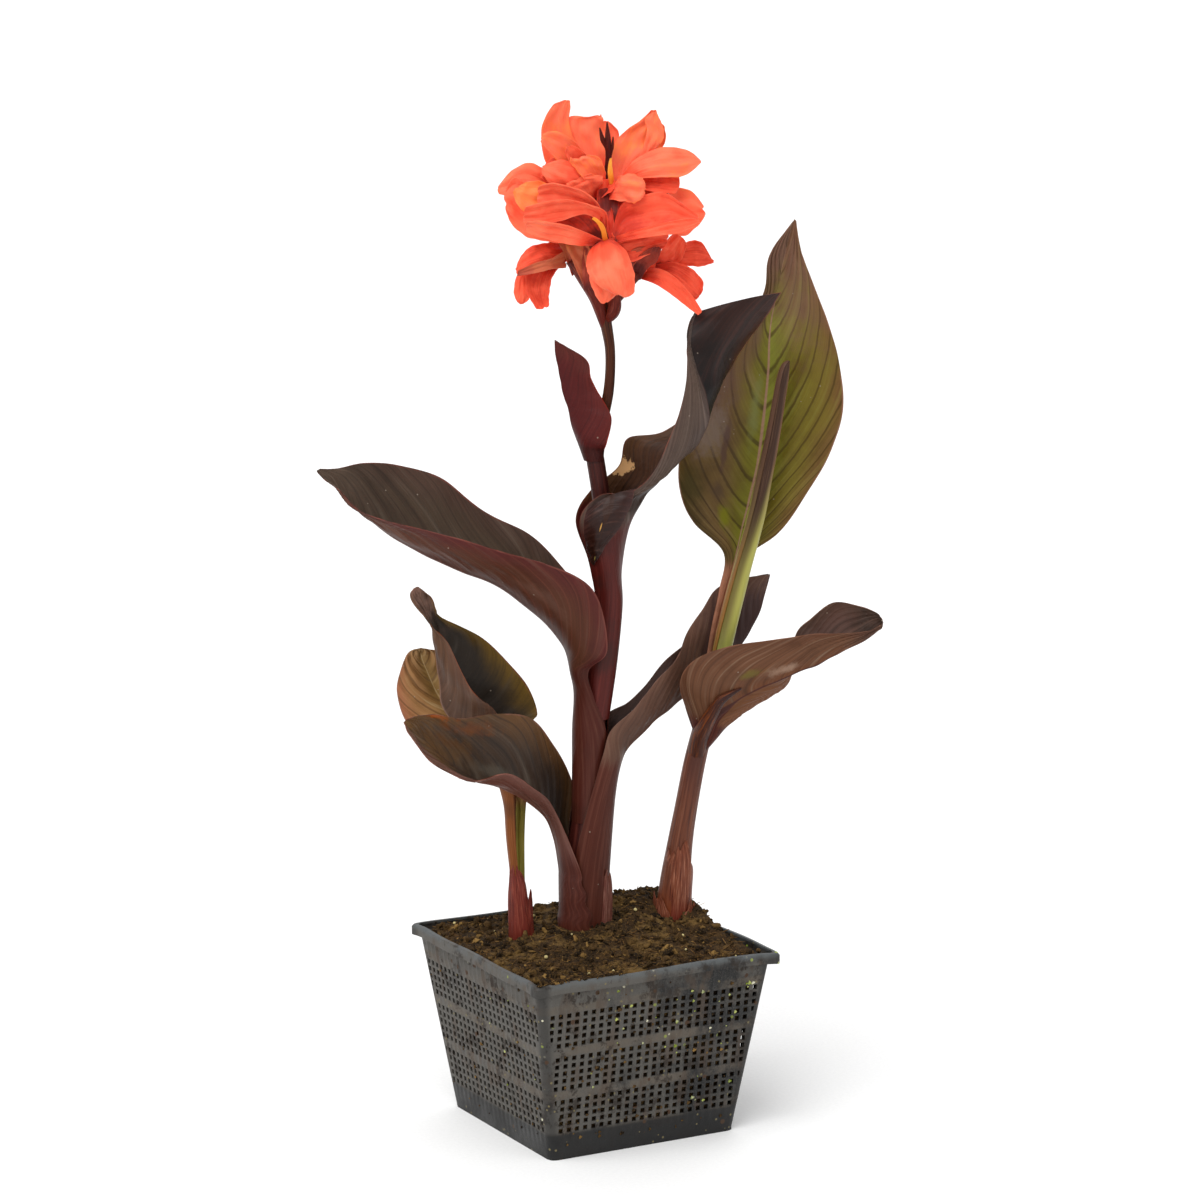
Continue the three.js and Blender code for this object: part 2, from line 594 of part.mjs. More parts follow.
const front = [0, -1, 0.25];
const BLOOMS = {
  bloom_head: {
    tubes: [
      [[8, 20, 610, 5.6], [8, 20, 664, 5.2]],
      [[8, 19, 614, 2.8], [6, 6, 622, 3.8], [6, -4, 628, 4.4]],
      [[9, 19, 616, 2.8], [13, 6, 624, 3.8], [18, -1, 630, 4.4]],
      [[7, 21, 632, 2.8], [-6, 25, 638, 3.8], [-15, 26, 640, 4.4]],
      [[7, 21, 648, 2.8], [4, 27, 655, 3.6], [1, 28, 661, 4.2]],
      [[9, 20, 648, 2.8], [14, 22, 655, 3.6], [18, 22, 660, 4.2]],
    ],
    petals: [
      { base: [7, -3, 631], bend: [-6, -22, 668], tip: [-38, -18, 664], width: 13, face: [0.2, -1, 0.5] },
      { base: [5, -3, 629], bend: [-20, -26, 654], tip: [-43, -20, 641], width: 11, face: [0, -1, 0.4] },
      { base: [5, -3, 627], bend: [-22, -30, 624], tip: [-44, -22, 640], width: 9.5, face: [0, -0.8, 0.8] },
      { base: [7, -6, 628], bend: [-2, -12, 644], tip: [-21, -14, 640], width: 8, face: front },
      { base: [9, -4, 627], bend: [13, -38, 616], tip: [16, -30, 583], width: 17, face: [0, -1, 0.5] },
      { base: [6, -4, 624], bend: [4, -22, 606], tip: [6, -20, 577], width: 10, face: [0, -1, 0.3] },
      { base: [8, -6, 626], bend: [10, -22, 630], tip: [1, -28, 642], width: 2, face: front, cup: 0 },
      { base: [15, -2, 629], bend: [36, -10, 672], tip: [77, -8, 636], width: 16, face: [-0.1, -1, 0.4] },
      { base: [17, -4, 626], bend: [44, -20, 618], tip: [75, -14, 634], width: 8, face: [0, -0.6, 0.8] },
      { base: [19, 4, 630], bend: [62, 12, 672], tip: [78, 10, 641], width: 12, face: [-0.2, -1, 0.2] },
      { base: [19, 3, 625], bend: [52, 8, 640], tip: [60, 4, 606], width: 10, face: front },
      { base: [-13, 26, 640], bend: [-42, 30, 690], tip: [-67, 26, 655], width: 12, face: [0, -1, 0.3] },
      { base: [-13, 25, 639], bend: [-38, 16, 666], tip: [-55, 20, 642], width: 12, face: front },
      { base: [-13, 25, 638], bend: [-44, 22, 606], tip: [-60, 28, 652], width: 10, face: [0.2, -1, 0] },
      { base: [-14, 25.5, 641], bend: [-20, 26, 664], tip: [-36, 24, 674], width: 10, face: front },
      { base: [1, 28, 660], bend: [-42, 30, 682], tip: [-17, 26, 722], width: 15, face: front },
      { base: [1, 28.5, 660], bend: [-10, 34, 688], tip: [2, 34, 713], width: 17, face: front },
      { base: [2, 29, 660], bend: [16, 42, 684], tip: [14, 42, 705], width: 12, face: front },
      { base: [3, 22, 660], bend: [-16, 4, 688], tip: [-36, 12, 696], width: 10, face: [0.4, -1, 0.5] },
      { base: [2, 22, 658], bend: [10, 0, 682], tip: [-10, 0, 680], width: 10, face: [0, -1, 0.5] },
      { base: [2, 20, 657], bend: [-6, 2, 648], tip: [-20, 6, 661], width: 9, face: [0, -1, 0.6] },
      { base: [17, 23, 661], bend: [18, 26, 694], tip: [43, 30, 714], width: 22, face: [0, -1, 0.1] },
      { base: [19, 22, 660], bend: [50, 16, 688], tip: [77, 16, 677], width: 12, face: [0, -1, 0.3] },
      { base: [15, 18, 659], bend: [20, -16, 664], tip: [37, -22, 661], width: 11, face: [0, -0.8, 0.9] },
      { base: [21, 20, 658], bend: [44, 18, 664], tip: [61, 20, 656], width: 8, face: [0, -1, 0.2] },
      { base: [17, 21, 658], bend: [14, 8, 668], tip: [13, 4, 682], width: 2.2, face: front, cup: 0 },
    ],
  },
  bloom_low_right: {
    tubes: [[[32.6, 12, 600.6, 2.6], [38, 13, 604, 3.4], [43, 13, 604, 4]]],
    petals: [
      { base: [40, 12, 600], bend: [56, 4, 604], tip: [76, 1, 570], width: 8.5, face: [0, -1, 0.6] },
      { base: [43, 16, 602], bend: [68, 20, 614], tip: [75, 20, 583], width: 11, face: front },
      { base: [44, 15, 605], bend: [66, 18, 630], tip: [86, 18, 607], width: 11, face: [0, -1, 0.2] },
      { base: [42, 12, 606], bend: [54, 14, 622], tip: [62, 14, 628], width: 8, face: front },
    ],
  },
  bloom_low_left: {
    tubes: [[[-15.6, 6.6, 608.8, 2.6], [-19, 7, 612, 3.4], [-23, 9, 612, 4]]],
    petals: [
      { base: [-20, 5, 612], bend: [-34, -1, 613], tip: [-53, -1, 599], width: 7, face: [0, -1, 0.5] },
      { base: [-22, 12, 613], bend: [-46, 18, 630], tip: [-53, 16, 602], width: 10, face: front },
      { base: [-23, 10, 610], bend: [-30, 8, 598], tip: [-34, 8, 573], width: 13, face: front },
      { base: [-27, 12, 610], bend: [-52, 12, 606], tip: [-50, 12, 578], width: 9.5, face: front },
      { base: [-16, 4, 609], bend: [-22, -4, 614], tip: [-27, -8, 624], width: 5, face: front },
      { base: [-15, 4, 608], bend: [-12, -4, 612], tip: [-13, -8, 622], width: 5, face: front },
    ],
  },
};

function bloom({ tubes, petals }, grow = 0) {
  return joined([...tubes.map((t) => stalk(t, 8, 1, grow)), ...petals.map((p) => petal(p, 6, grow))]);
}

// ---------------------------------------------------------------------------------------------
// Assembly.

const FINISH = {
  basket: [0x4c4a47, 0.62],
  peat: [0x3b2a1a, 0.98],
  stem: [0x54282a, 0.5],
  dark: [0x463a34, 0.42],
  olive: [0x6a6a34, 0.5],
  bronze: [0x6b5538, 0.5],
  brown: [0x6c4636, 0.5],
  bract: [0x5a2229, 0.5],
  coral: [0xf4603f, 0.6],
};

const group = new THREE.Group();
const turn = new THREE.Matrix4().makeRotationZ(rad(PLANT_TURN));

function add(name, solid, finish, turned = true) {
  const geometry = geometryOf(solid);
  if (turned) {
    geometry.applyMatrix4(turn);
  }
  const [color, roughness] = FINISH[finish];
  const mesh = new THREE.Mesh(geometry, new THREE.MeshStandardMaterial({ color, roughness, metalness: 0 }));
  mesh.name = name;
  group.add(mesh);
  return mesh;
}

const culmShape = (grow) => joined([
  stalk(CULM, 14, 1, grow),
  ...SPIKE.map((points) => stalk(points, 6, 1, grow)),
  ...OVARIES.map((points) => stalk(points, 8, 1, grow)),
]);
const culm = culmShape(0);
const culmRoom = culmShape(CLEAR);
const rightStem = stalk(RIGHT_STEM, 12);
const leftStem = stalk(LEFT_STEM, 10);
const rightRoom = stalk(RIGHT_STEM, 12, 1, CLEAR);
const leftRoom = stalk(LEFT_STEM, 10, 1, CLEAR);

const leaves = [
  ['leaf_upper_left', LEAF_A, WIDE, 1, 'dark'],
  ['leaf_lower_left', LEAF_B, WIDE, 1, 'dark'],
  ['leaf_middle_right', LEAF_H, WIDE, 1, 'dark'],
  ['leaf_scrolled', LEAF_E, WIDE, 1, 'dark'],
  ['leaf_tall_right', LEAF_F, PLAIN, 1, 'olive'],
  ['leaf_low_right', LEAF_G, PLAIN, 2, 'brown'],
  ['leaf_left_folded', LEAF_C, PLAIN, 1, 'dark'],
  ['leaf_left_rear', LEAF_D, PLAIN, 1, 'bronze'],
];

add('basket', basket(), 'basket', false);

const backTurn = [0, 0, PLANT_TURN];
const stemHoles = [culmRoom, rightRoom, leftRoom].map((s) => s.rotate(backTurn));
const sheathFoot = stalk([[-7, 18, 90, 20.2], [-6, 18, 200, 20.2]], 16).rotate(backTurn);
add('peat', clearOf(peat(), [...stemHoles, sheathFoot]), 'peat', false);

add('main_stem', culm, 'stem');
add('right_stem', rightStem, 'stem');
add('left_stem', leftStem, 'stem');
add('leaf_rolled', clearOf(stalk(ROLL, 10), [rightRoom]), 'olive');
add('bract', clearOf(leaf(SPATHE, PLAIN, 1, 0, 0.6), [culmRoom]), 'bract');
const taken = [culmRoom, rightRoom, leftRoom, stalk(ROLL, 10, 1, CLEAR)];
for (const [name, stations, across, perSpan, finish] of leaves) {
  add(name, clearOf(leaf(stations, across, perSpan), taken), finish);
  taken.push(leaf(stations, across, perSpan, CLEAR));
}

const placed = [culmRoom];
for (const [name, flower] of Object.entries(BLOOMS)) {
  add(name, clearOf(bloom(flower), placed), 'coral');
  placed.push(bloom(flower, CLEAR));
}

export default group;
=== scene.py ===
"""A bronze-leaved canna lily growing in a square pond basket.

The plant's tables are in millimetres, in the plant's own frame: x to its right, y away and z up from
the floor. to_row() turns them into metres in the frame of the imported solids.
"""
import logging
import math
from dataclasses import dataclass
from enum import Enum
from typing import Callable

import bpy
import numpy as np
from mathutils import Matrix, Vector, noise


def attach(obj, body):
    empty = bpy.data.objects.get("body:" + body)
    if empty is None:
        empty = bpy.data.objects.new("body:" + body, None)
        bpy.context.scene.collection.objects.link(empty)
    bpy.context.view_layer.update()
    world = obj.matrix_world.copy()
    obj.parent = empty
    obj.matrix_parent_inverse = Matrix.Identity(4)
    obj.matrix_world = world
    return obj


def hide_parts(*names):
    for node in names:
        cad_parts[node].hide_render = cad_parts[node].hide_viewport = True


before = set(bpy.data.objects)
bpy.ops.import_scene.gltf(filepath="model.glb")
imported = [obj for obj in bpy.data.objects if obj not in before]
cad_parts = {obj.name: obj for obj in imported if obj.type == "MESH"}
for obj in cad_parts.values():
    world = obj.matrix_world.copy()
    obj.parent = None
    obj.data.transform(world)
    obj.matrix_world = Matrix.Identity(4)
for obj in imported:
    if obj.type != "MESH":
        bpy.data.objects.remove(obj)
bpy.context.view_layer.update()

LOG = logging.getLogger("canna")
MM = 0.001
PLANT_TURN = math.radians(-28.9)
SEED = 7
VEIN_BEND = 1.5
VEIN_OFFSET = 0.015
SHEATH_BLUR = 0.022
FOLD_BLUR = 0.04
LEAF_DUST = "#a89a8c"
PETAL_TONE_STEP = 0.24
SOIL_LEVEL = 127.5
STALK_FOOT = 13
CAMERA_TILT = math.radians(11.0)
CAMERA_REACH = 3000.0
LENS = 129.8
SENSOR = 36.0
FRAME_WIDTH = 1200
FRAME_FOCUS = LENS / SENSOR * FRAME_WIDTH
AIM = (5.0, 374.0)
CHANCE_WEIGHTS = (12.9898, 78.233, 37.719, 4.581)
CHANCE_SCALE = 43758.5453
Point = tuple[float, float, float]
Piece = bpy.types.Object
Skin = bpy.types.Material
Socket = bpy.types.NodeSocket


class Coat(Enum):
    """The material place that a face of a leaf takes."""

    UPPER = 0
    UNDER = 1
    RIM = 2


# ---------------------------------------------------------------------------------------------
# Shapes worked out as arrays.


def to_row(points: np.ndarray) -> np.ndarray:
    """Turns plant-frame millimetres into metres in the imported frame.

    Args:
        points: an array whose last axis is x, y, z.

    Returns:
        The same array, turned and scaled.
    """
    c, s = math.cos(PLANT_TURN), math.sin(PLANT_TURN)
    x, y, z = points[..., 0], points[..., 1], points[..., 2]
    return np.stack([c * x - s * y, s * x + c * y, z], axis=-1) * MM


def seen(across: np.ndarray, down: np.ndarray, depth: np.ndarray) -> np.ndarray:
    """Finds the plant's points that the camera shows at places of its frame.

    Args:
        across: how far from the frame's left side, in 1200ths of its width.
        down: how far from its top, in the same unit.
        depth: how far back each point lies, the plant's y in millimetres.

    Returns:
        The points in the plant's frame.
    """
    c, s = math.cos(CAMERA_TILT), math.sin(CAMERA_TILT)
    middle = FRAME_WIDTH / 2
    a, b = (across - middle) / FRAME_FOCUS, (middle - down) / FRAME_FOCUS
    reach = (depth + CAMERA_REACH * c) / (c + b * s)
    height = AIM[1] + CAMERA_REACH * s + (b * c - s) * reach
    return np.stack([AIM[0] + a * reach, depth, height], axis=-1)


def refined(rows: np.ndarray, count: int) -> np.ndarray:
    """Passes a smooth curve through each column of a table of rows.

    Args:
        rows: the stations, one entry each on the first axis.
        count: how many rows the result has.

    Returns:
        The rows, evenly spaced in station number.
    """
    last = len(rows) - 1
    s = np.linspace(0, last, count)
    i = np.minimum(s.astype(int), last - 1)
    f = (s - i).reshape(-1, *([1] * (rows.ndim - 1)))
    a, b, c, d = rows[np.maximum(i - 1, 0)], rows[i], rows[i + 1], rows[np.minimum(i + 2, last)]
    curve = (2 * a - 5 * b + 4 * c - d) * f**2 + (3 * b - a - 3 * c + d) * f**3
    return 0.5 * (2 * b + (c - a) * f + curve)


def normals_of(grid: np.ndarray) -> np.ndarray:
    """The unit normal at each point of a grid, across crossed with along."""
    n = np.cross(np.gradient(grid, axis=1), np.gradient(grid, axis=0))
    return n / np.maximum(np.linalg.norm(n, axis=-1, keepdims=True), 1e-9)


def unit(vector: np.ndarray) -> np.ndarray:
    """The vector or vectors at length one."""
    return vector / np.maximum(np.linalg.norm(vector, axis=-1, keepdims=True), 1e-9)


def smooth(x: np.ndarray, low: float, high: float) -> np.ndarray:
    """Eases from 0 at low to 1 at high."""
    t = np.clip((x - low) / (high - low), 0, 1)
    return t * t * (3 - 2 * t)


def chance(*keys: float) -> float:
    """A fixed number from 0 to 1 for the keys given."""
    x = math.sin(sum(k * w for k, w in zip(keys, CHANCE_WEIGHTS)) + SEED) * CHANCE_SCALE
    return x - math.floor(x)


def mound(x: float, y: float, top: float, wide: float, deep: float) -> float:
    """The height of a soft mound, x and y away from its middle.

    Args:
        x: how far to the right of the middle.
        y: how far behind it.
        top: the height at the middle.
        wide: how slowly it falls off along x, in square millimetres.
        deep: the same along y.

    Returns:
        The height in millimetres.
    """
    return top * math.exp(-(x**2 / wide + y**2 / deep))


def ring_of(angle: np.ndarray) -> np.ndarray:
    """Points on a flat circle of radius one, at angles in radians."""
    return np.stack([np.cos(angle), np.sin(angle), np.zeros_like(angle)], axis=-1)


def axis_turn(axis: int, angle: float) -> np.ndarray:
    """The 3 by 3 turn by an angle in radians about axis 0, 1 or 2."""
    turn = np.eye(3)
    i, j = (axis + 1) % 3, (axis + 2) % 3
    turn[i, i] = turn[j, j] = math.cos(angle)
    turn[i, j], turn[j, i] = -math.sin(angle), math.sin(angle)
    return turn


def direction(azimuth: float, elevation: float) -> Vector:
    """The unit vector towards a light or the camera, from its angles in radians."""
    flat = math.cos(elevation)
    return Vector((math.sin(azimuth) * flat, -math.cos(azimuth) * flat, math.sin(elevation)))


def lumps_over(v: np.ndarray, t: np.ndarray, across: float, along: float, salt: float) -> np.ndarray:
    """Soft unevenness from -1 to 1 over a surface.

    Args:
        v: the places across, as one row.
        t: the places along, as one column.
        across: how closely the lumps follow each other across.
        along: the same along.
        salt: sets this surface apart from others.

    Returns:
        An array with the surface's rows and columns.
    """
    rows = [[noise.noise(Vector((across * x, along * y, salt))) for x in v.ravel()] for y in t.ravel()]
    return np.array(rows)


def wound(points: tuple, angle: np.ndarray, factor: np.ndarray) -> np.ndarray:
    """Winds rows of points round a centre line.

    Args:
        points: x, y, z and radius at each station of the line.
        angle: the angle of each point round the line.
        factor: what the radius is multiplied by, rows along the line and columns round it.

    Returns:
        The rows of points, in plant millimetres.
    """
    line = refined(np.array(points, float), len(factor))
    centre, radius = line[:, :3], line[:, 3:]
    along = unit(np.gradient(centre, axis=0))
    side = unit(np.cross(np.array([0.0, 1.0, 0.0]), along))
    depth = np.cross(along, side)
    flat = side[:, None] * np.cos(angle)[..., None] + depth[:, None] * np.sin(angle)[..., None]
    return centre[:, None] + flat * (radius * factor)[..., None]


# ---------------------------------------------------------------------------------------------
# Meshes made with Blender's own tools.


def deselect() -> None:
    """Leaves nothing selected."""
    bpy.ops.object.select_all(action="DESELECT")


def take(obj: Piece) -> Piece:
    """Makes obj the one selected and active object."""
    deselect()
    obj.select_set(True)
    bpy.context.view_layer.objects.active = obj
    return obj


def co_of(obj: Piece) -> np.ndarray:
    """The places of an object's vertices."""
    co = np.empty(len(obj.data.vertices) * 3)
    obj.data.vertices.foreach_get("co", co)
    return co.reshape(-1, 3)


def set_co(obj: Piece, co: np.ndarray) -> None:
    """Puts an object's vertices at co."""
    obj.data.vertices.foreach_set("co", np.ascontiguousarray(co, dtype=np.float32).ravel())
    obj.data.update()


def grid_object(name: str, points: np.ndarray) -> Piece:
    """Adds a grid and shapes it to rows of points.

    Args:
        name: the piece's name.
        points: rows, columns and x, y, z, in metres.

    Returns:
        The object, with a UV map of the place across and along.
    """
    rows, columns = points.shape[:2]
    deselect()
    bpy.ops.mesh.primitive_grid_add(x_subdivisions=columns - 1, y_subdivisions=rows - 1, size=2)
    obj = bpy.context.object
    obj.name = obj.data.name = name
    flat = co_of(obj)
    column = np.rint((flat[:, 0] + 1) / 2 * (columns - 1)).astype(int)
    row = np.rint((flat[:, 1] + 1) / 2 * (rows - 1)).astype(int)
    set_co(obj, points[row, column])
    return obj


def edit(obj: Piece, *steps: Callable) -> Piece:
    """Runs mesh operators on the whole of obj in edit mode.

    Args:
        obj: the object to edit.
        steps: calls that act on everything selected.

    Returns:
        The same object.
    """
    take(obj)
    bpy.ops.object.mode_set(mode="EDIT")
    for step in steps:
        bpy.ops.mesh.select_all(action="SELECT")
        step()
    bpy.ops.object.mode_set(mode="OBJECT")
    return obj


def weld(distance: float = 2e-5) -> Callable:
    """A step that joins points closer together than distance."""
    return lambda: bpy.ops.mesh.remove_doubles(threshold=distance)


def fill_ends() -> None:
    """A step that closes every open end."""
    bpy.ops.mesh.fill_holes(sides=0)


def face_out() -> None:
    """A step that points the faces of a closed shell outwards."""
    bpy.ops.mesh.normals_make_consistent(inside=False)


def delete_faces(obj: Piece, unwanted: Callable[[np.ndarray], np.ndarray]) -> None:
    """Deletes the faces whose middles unwanted() marks.

    Args:
        obj: the object to cut.
        unwanted: takes the middles of the UV places of the faces and gives a mask.
    """
    count = len(obj.data.polygons)
    uv = np.empty(len(obj.data.loops) * 2)
    obj.data.uv_layers.active.data.foreach_get("uv", uv)
    starts = np.empty(count, int)
    totals = np.empty(count, int)
    obj.data.polygons.foreach_get("loop_start", starts)
    obj.data.polygons.foreach_get("loop_total", totals)
    middles = np.add.reduceat(uv.reshape(-1, 2), starts, axis=0) / totals[:, None]
    take(obj)
    bpy.ops.object.mode_set(mode="EDIT")
    bpy.ops.mesh.select_mode(type="FACE")
    bpy.ops.mesh.select_all(action="DESELECT")
    bpy.ops.object.mode_set(mode="OBJECT")
    obj.data.polygons.foreach_set("select", unwanted(middles))
    bpy.ops.object.mode_set(mode="EDIT")
    bpy.ops.mesh.delete(type="FACE")
    bpy.ops.mesh.select_mode(type="VERT")
    bpy.ops.object.mode_set(mode="OBJECT")


def modify(obj: Piece, kind: str, **settings: object) -> None:
    """Adds a modifier with its settings and applies it."""
    take(obj)
    modifier = obj.modifiers.new(kind.lower(), kind)
    for key, value in settings.items():
        setattr(modifier, key, value)
    bpy.ops.object.modifier_apply(modifier=modifier.name)


def shade(obj: Piece, degrees: float = 180.0) -> None:
    """Shades faces smoothly where they meet at less than an angle."""
    take(obj)
    if degrees >= 180:
        bpy.ops.object.shade_smooth()
    else:
        bpy.ops.object.shade_smooth_by_angle(angle=math.radians(degrees))


def joined(name: str, objects: list) -> Piece:
    """Joins objects into one of that name."""
    deselect()
    for obj in objects:
        obj.select_set(True)
    bpy.context.view_layer.objects.active = objects[0]
    bpy.ops.object.join()
    objects[0].name = objects[0].data.name = name
    return objects[0]


def tone_points(obj: Piece, tone: float) -> None:
    """Stores one shade number on all of an object's points."""
    attribute = obj.data.attributes.new("tone", "FLOAT", "POINT")
    attribute.data.foreach_set("value", np.full(len(obj.data.vertices), tone, np.float32))


def scattered(name: str, model: Piece, places: list) -> Piece:
    """Copies a small model to many places in one mesh, and removes the model.

    Args:
        name: the name of the new piece.
        model: the shape to copy.
        places: a (place, 3 by 3 turn and scale, tone) for each copy.

    Returns:
        The piece that holds all the copies.
    """
    shape = co_of(model)
    faces = [tuple(p.vertices) for p in model.data.polygons]
    co = np.concatenate([shape @ turn.T + place for place, turn, _ in places])
    loops = [tuple(k + i * len(shape) for k in face) for i in range(len(places)) for face in faces]
    mesh = bpy.data.meshes.new(name)
    mesh.from_pydata(co.tolist(), [], loops)
    tones = np.repeat([tone for _, _, tone in places], len(shape)).astype(np.float32)
    mesh.attributes.new("tone", "FLOAT", "POINT").data.foreach_set("value", tones)
    obj = bpy.data.objects.new(name, mesh)
    bpy.context.scene.collection.objects.link(obj)
    bpy.data.objects.remove(model)
    return obj


def dress(obj: Piece, materials: list, nodes: tuple = ()) -> None:
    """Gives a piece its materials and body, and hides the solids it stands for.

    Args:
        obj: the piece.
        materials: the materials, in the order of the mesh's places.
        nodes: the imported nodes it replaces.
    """
    places = np.empty(len(obj.data.polygons), np.int32)
    obj.data.polygons.foreach_get("material_index", places)
    obj.data.materials.clear()
    for material in materials:
        obj.data.materials.append(material)
    obj.data.polygons.foreach_set("material_index", np.minimum(places, len(materials) - 1))
    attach(obj, "root")
    if nodes:
        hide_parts(*nodes)
    LOG.info("%s: %d faces", obj.name, len(obj.data.polygons))


# ---------------------------------------------------------------------------------------------
# Materials.


def rgb(code: str) -> tuple:
    """A colour code such as "#8a4a4c" as linear red, green, blue and alpha."""
    parts = [int(code[i : i + 2], 16) / 255 for i in (1, 3, 5)]
    return tuple(p / 12.92 if p <= 0.04045 else ((p + 0.055) / 1.055) ** 2.4 for p in parts) + (1.0,)


class Palette:
    """Builds one material's nodes, step by step."""

    def __init__(self, name: str) -> None:
        """Starts a material of that name."""
        self.material = bpy.data.materials.new(name)
        self.material.use_nodes = True
        self.tree = self.material.node_tree
        self.shader = self.tree.nodes["Principled BSDF"]

    def put(self, kind: str, inputs: dict, **settings: object) -> bpy.types.Node:
        """Adds a node.

        Args:
            kind: the node's type, without ShaderNode.
            inputs: a value or another node's socket for each input, by number or name.
            settings: the node's own settings.

        Returns:
            The node.
        """
        node = self.tree.nodes.new("ShaderNode" + kind)
        for key, value in settings.items():
            setattr(node, key, value)
        for key, value in inputs.items():
            if isinstance(value, Socket):
                self.tree.links.new(value, node.inputs[key])
            else:
                node.inputs[key].default_value = value
        return node

    def math(self, operation: str, a: object, b: object = 0.0) -> Socket:
        """A sum, product or other result of two numbers."""
        return self.put("Math", {0: a, 1: b}, operation=operation).outputs[0]

    def plus(self, a: object, b: object) -> Socket:
        """The sum of two numbers."""
        return self.math("ADD", a, b)

    def times(self, a: object, b: object) -> Socket:
        """The product of two numbers."""
        return self.math("MULTIPLY", a, b)

    def scaled(self, x: object, factor: float, shift: float = 0.0) -> Socket:
        """x times factor, plus shift."""
        return self.put("Math", {0: x, 1: factor, 2: shift}, operation="MULTIPLY_ADD").outputs[0]

    def ease(self, x: object, low: float, high: float, top: float = 1.0) -> Socket:
        """Eases from 0 at low to top at high."""
        inputs = {"Value": x, "From Min": low, "From Max": high, "To Max": top}
        return self.put("MapRange", inputs, interpolation_type="SMOOTHSTEP").outputs[0]

    def mix(self, share: object, a: object, b: object, blend: str = "MIX") -> Socket:
        """Mixes colour b over colour a; colours are codes or sockets."""
        a, b = (rgb(c) if isinstance(c, str) else c for c in (a, b))
        node = self.put("Mix", {0: share, 6: a, 7: b}, data_type="RGBA", blend_type=blend)
        return node.outputs[2]

    def tint(self, colour: object, new: object, x: object, low: float, high: float,
             top: float = 1.0) -> Socket:
        """Lays a new colour over colour as x goes from low to high, up to the share top."""
        return self.mix(self.ease(x, low, high, top), colour, new)

    def tints(self, colour: object, *layers: tuple) -> Socket:
        """Lays several colours over colour, each as (new, x, low, high) or with its top share."""
        for layer in layers:
            colour = self.tint(colour, *layer)
        return colour

    def deepened(self, colour: object, saturation: float, value: float) -> Socket:
        """A colour made richer and darker, against the pale light that a gloss adds."""
        inputs = {"Color": colour, "Saturation": saturation, "Value": value}
        return self.put("HueSaturation", inputs).outputs[0]

    def join(self, x: object, y: object, z: object = 0.0) -> Socket:
        """A vector from three numbers."""
        return self.put("CombineXYZ", {0: x, 1: y, 2: z}).outputs[0]

    def parts(self, vector: object) -> list:
        """The three numbers of a vector."""
        return self.put("SeparateXYZ", {0: vector}).outputs[:]

    def clouds(self, vector: object, scale: float, detail: float = 3.0, rough: float = 0.55) -> Socket:
        """Soft noise from 0 to 1."""
        inputs = {"Vector": vector, "Scale": scale, "Detail": detail, "Roughness": rough}
        return self.put("TexNoise", inputs).outputs[0]

    def specks(self, vector: object, scale: float) -> bpy.types.Node:
        """Cells round scattered points."""
        return self.put("TexVoronoi", {"Vector": vector, "Scale": scale})

    def flecks(self, scale: float, far: float, near: float, top: float, rarity: float) -> Socket:
        """Round spots at a few of the scattered points.

        Args:
            scale: how many points lie along a metre.
            far: where a spot ends, as a share of a cell.
            near: where it is full.
            top: how strong it is there.
            rarity: the share of points that have none.

        Returns:
            The spots' strength.
        """
        cells = self.specks(self.place(), scale).outputs
        draw = self.put("SeparateColor", {0: cells["Color"]}).outputs[0]
        spot = self.ease(cells["Distance"], far, near, top)
        return self.times(spot, self.math("GREATER_THAN", draw, rarity))

    def place(self) -> Socket:
        """The place on the object, in metres."""
        return self.put("TexCoord", {}).outputs["Object"]

    def across_along(self) -> tuple:
        """The UV map's two numbers."""
        return tuple(self.parts(self.put("UVMap", {}).outputs[0])[:2])

    def tone(self) -> Socket:
        """The number stored on the points by tone_points()."""
        return self.put("Attribute", {}, attribute_name="tone").outputs["Fac"]

    def finish(self, colour: object, rough: object, height: object = None, depth: float = 0.0003,
               **sockets: object) -> Skin:
        """Connects the shader.

        Args:
            colour: the base colour.
            rough: the roughness, a number or a socket.
            height: a socket with the relief, or None.
            depth: how deep the relief is, in metres.
            sockets: other values of the shader, with _ for a space in the name.

        Returns:
            The finished material.
        """
        values = {"Base Color": colour, "Roughness": rough}
        values.update({key.replace("_", " "): value for key, value in sockets.items()})
        if height is not None:
            values["Normal"] = self.put("Bump", {"Height": height, "Distance": depth}).outputs[0]
        for key, value in values.items():
            if isinstance(value, Socket):
                self.tree.links.new(value, self.shader.inputs[key])
            else:
                self.shader.inputs[key].default_value = value
        return self.material


@dataclass(frozen=True)
class LeafSide:
    """The colours of one side of a leaf."""

    heart: str
    field: str
    margin: str
    tip: str
    # pale: paler streaks, partly the leaf's own and partly painted sheen.
    pale: str
    dark: str
    rib: str
    line: str = ""


@dataclass(frozen=True)
class Mark:
    """A spot of colour on a leaf, such as a scorch, a tear or a patch of another tone, and on some leaves
    painted shade or a painted highlight: its place across and along, its size and colour.
    """

    across: float
    along: float
    size: float
    colour: str
    stretch: float = 3.0
    soft: float = 0.75
    share: float = 1.0
    ragged: float = 2.2


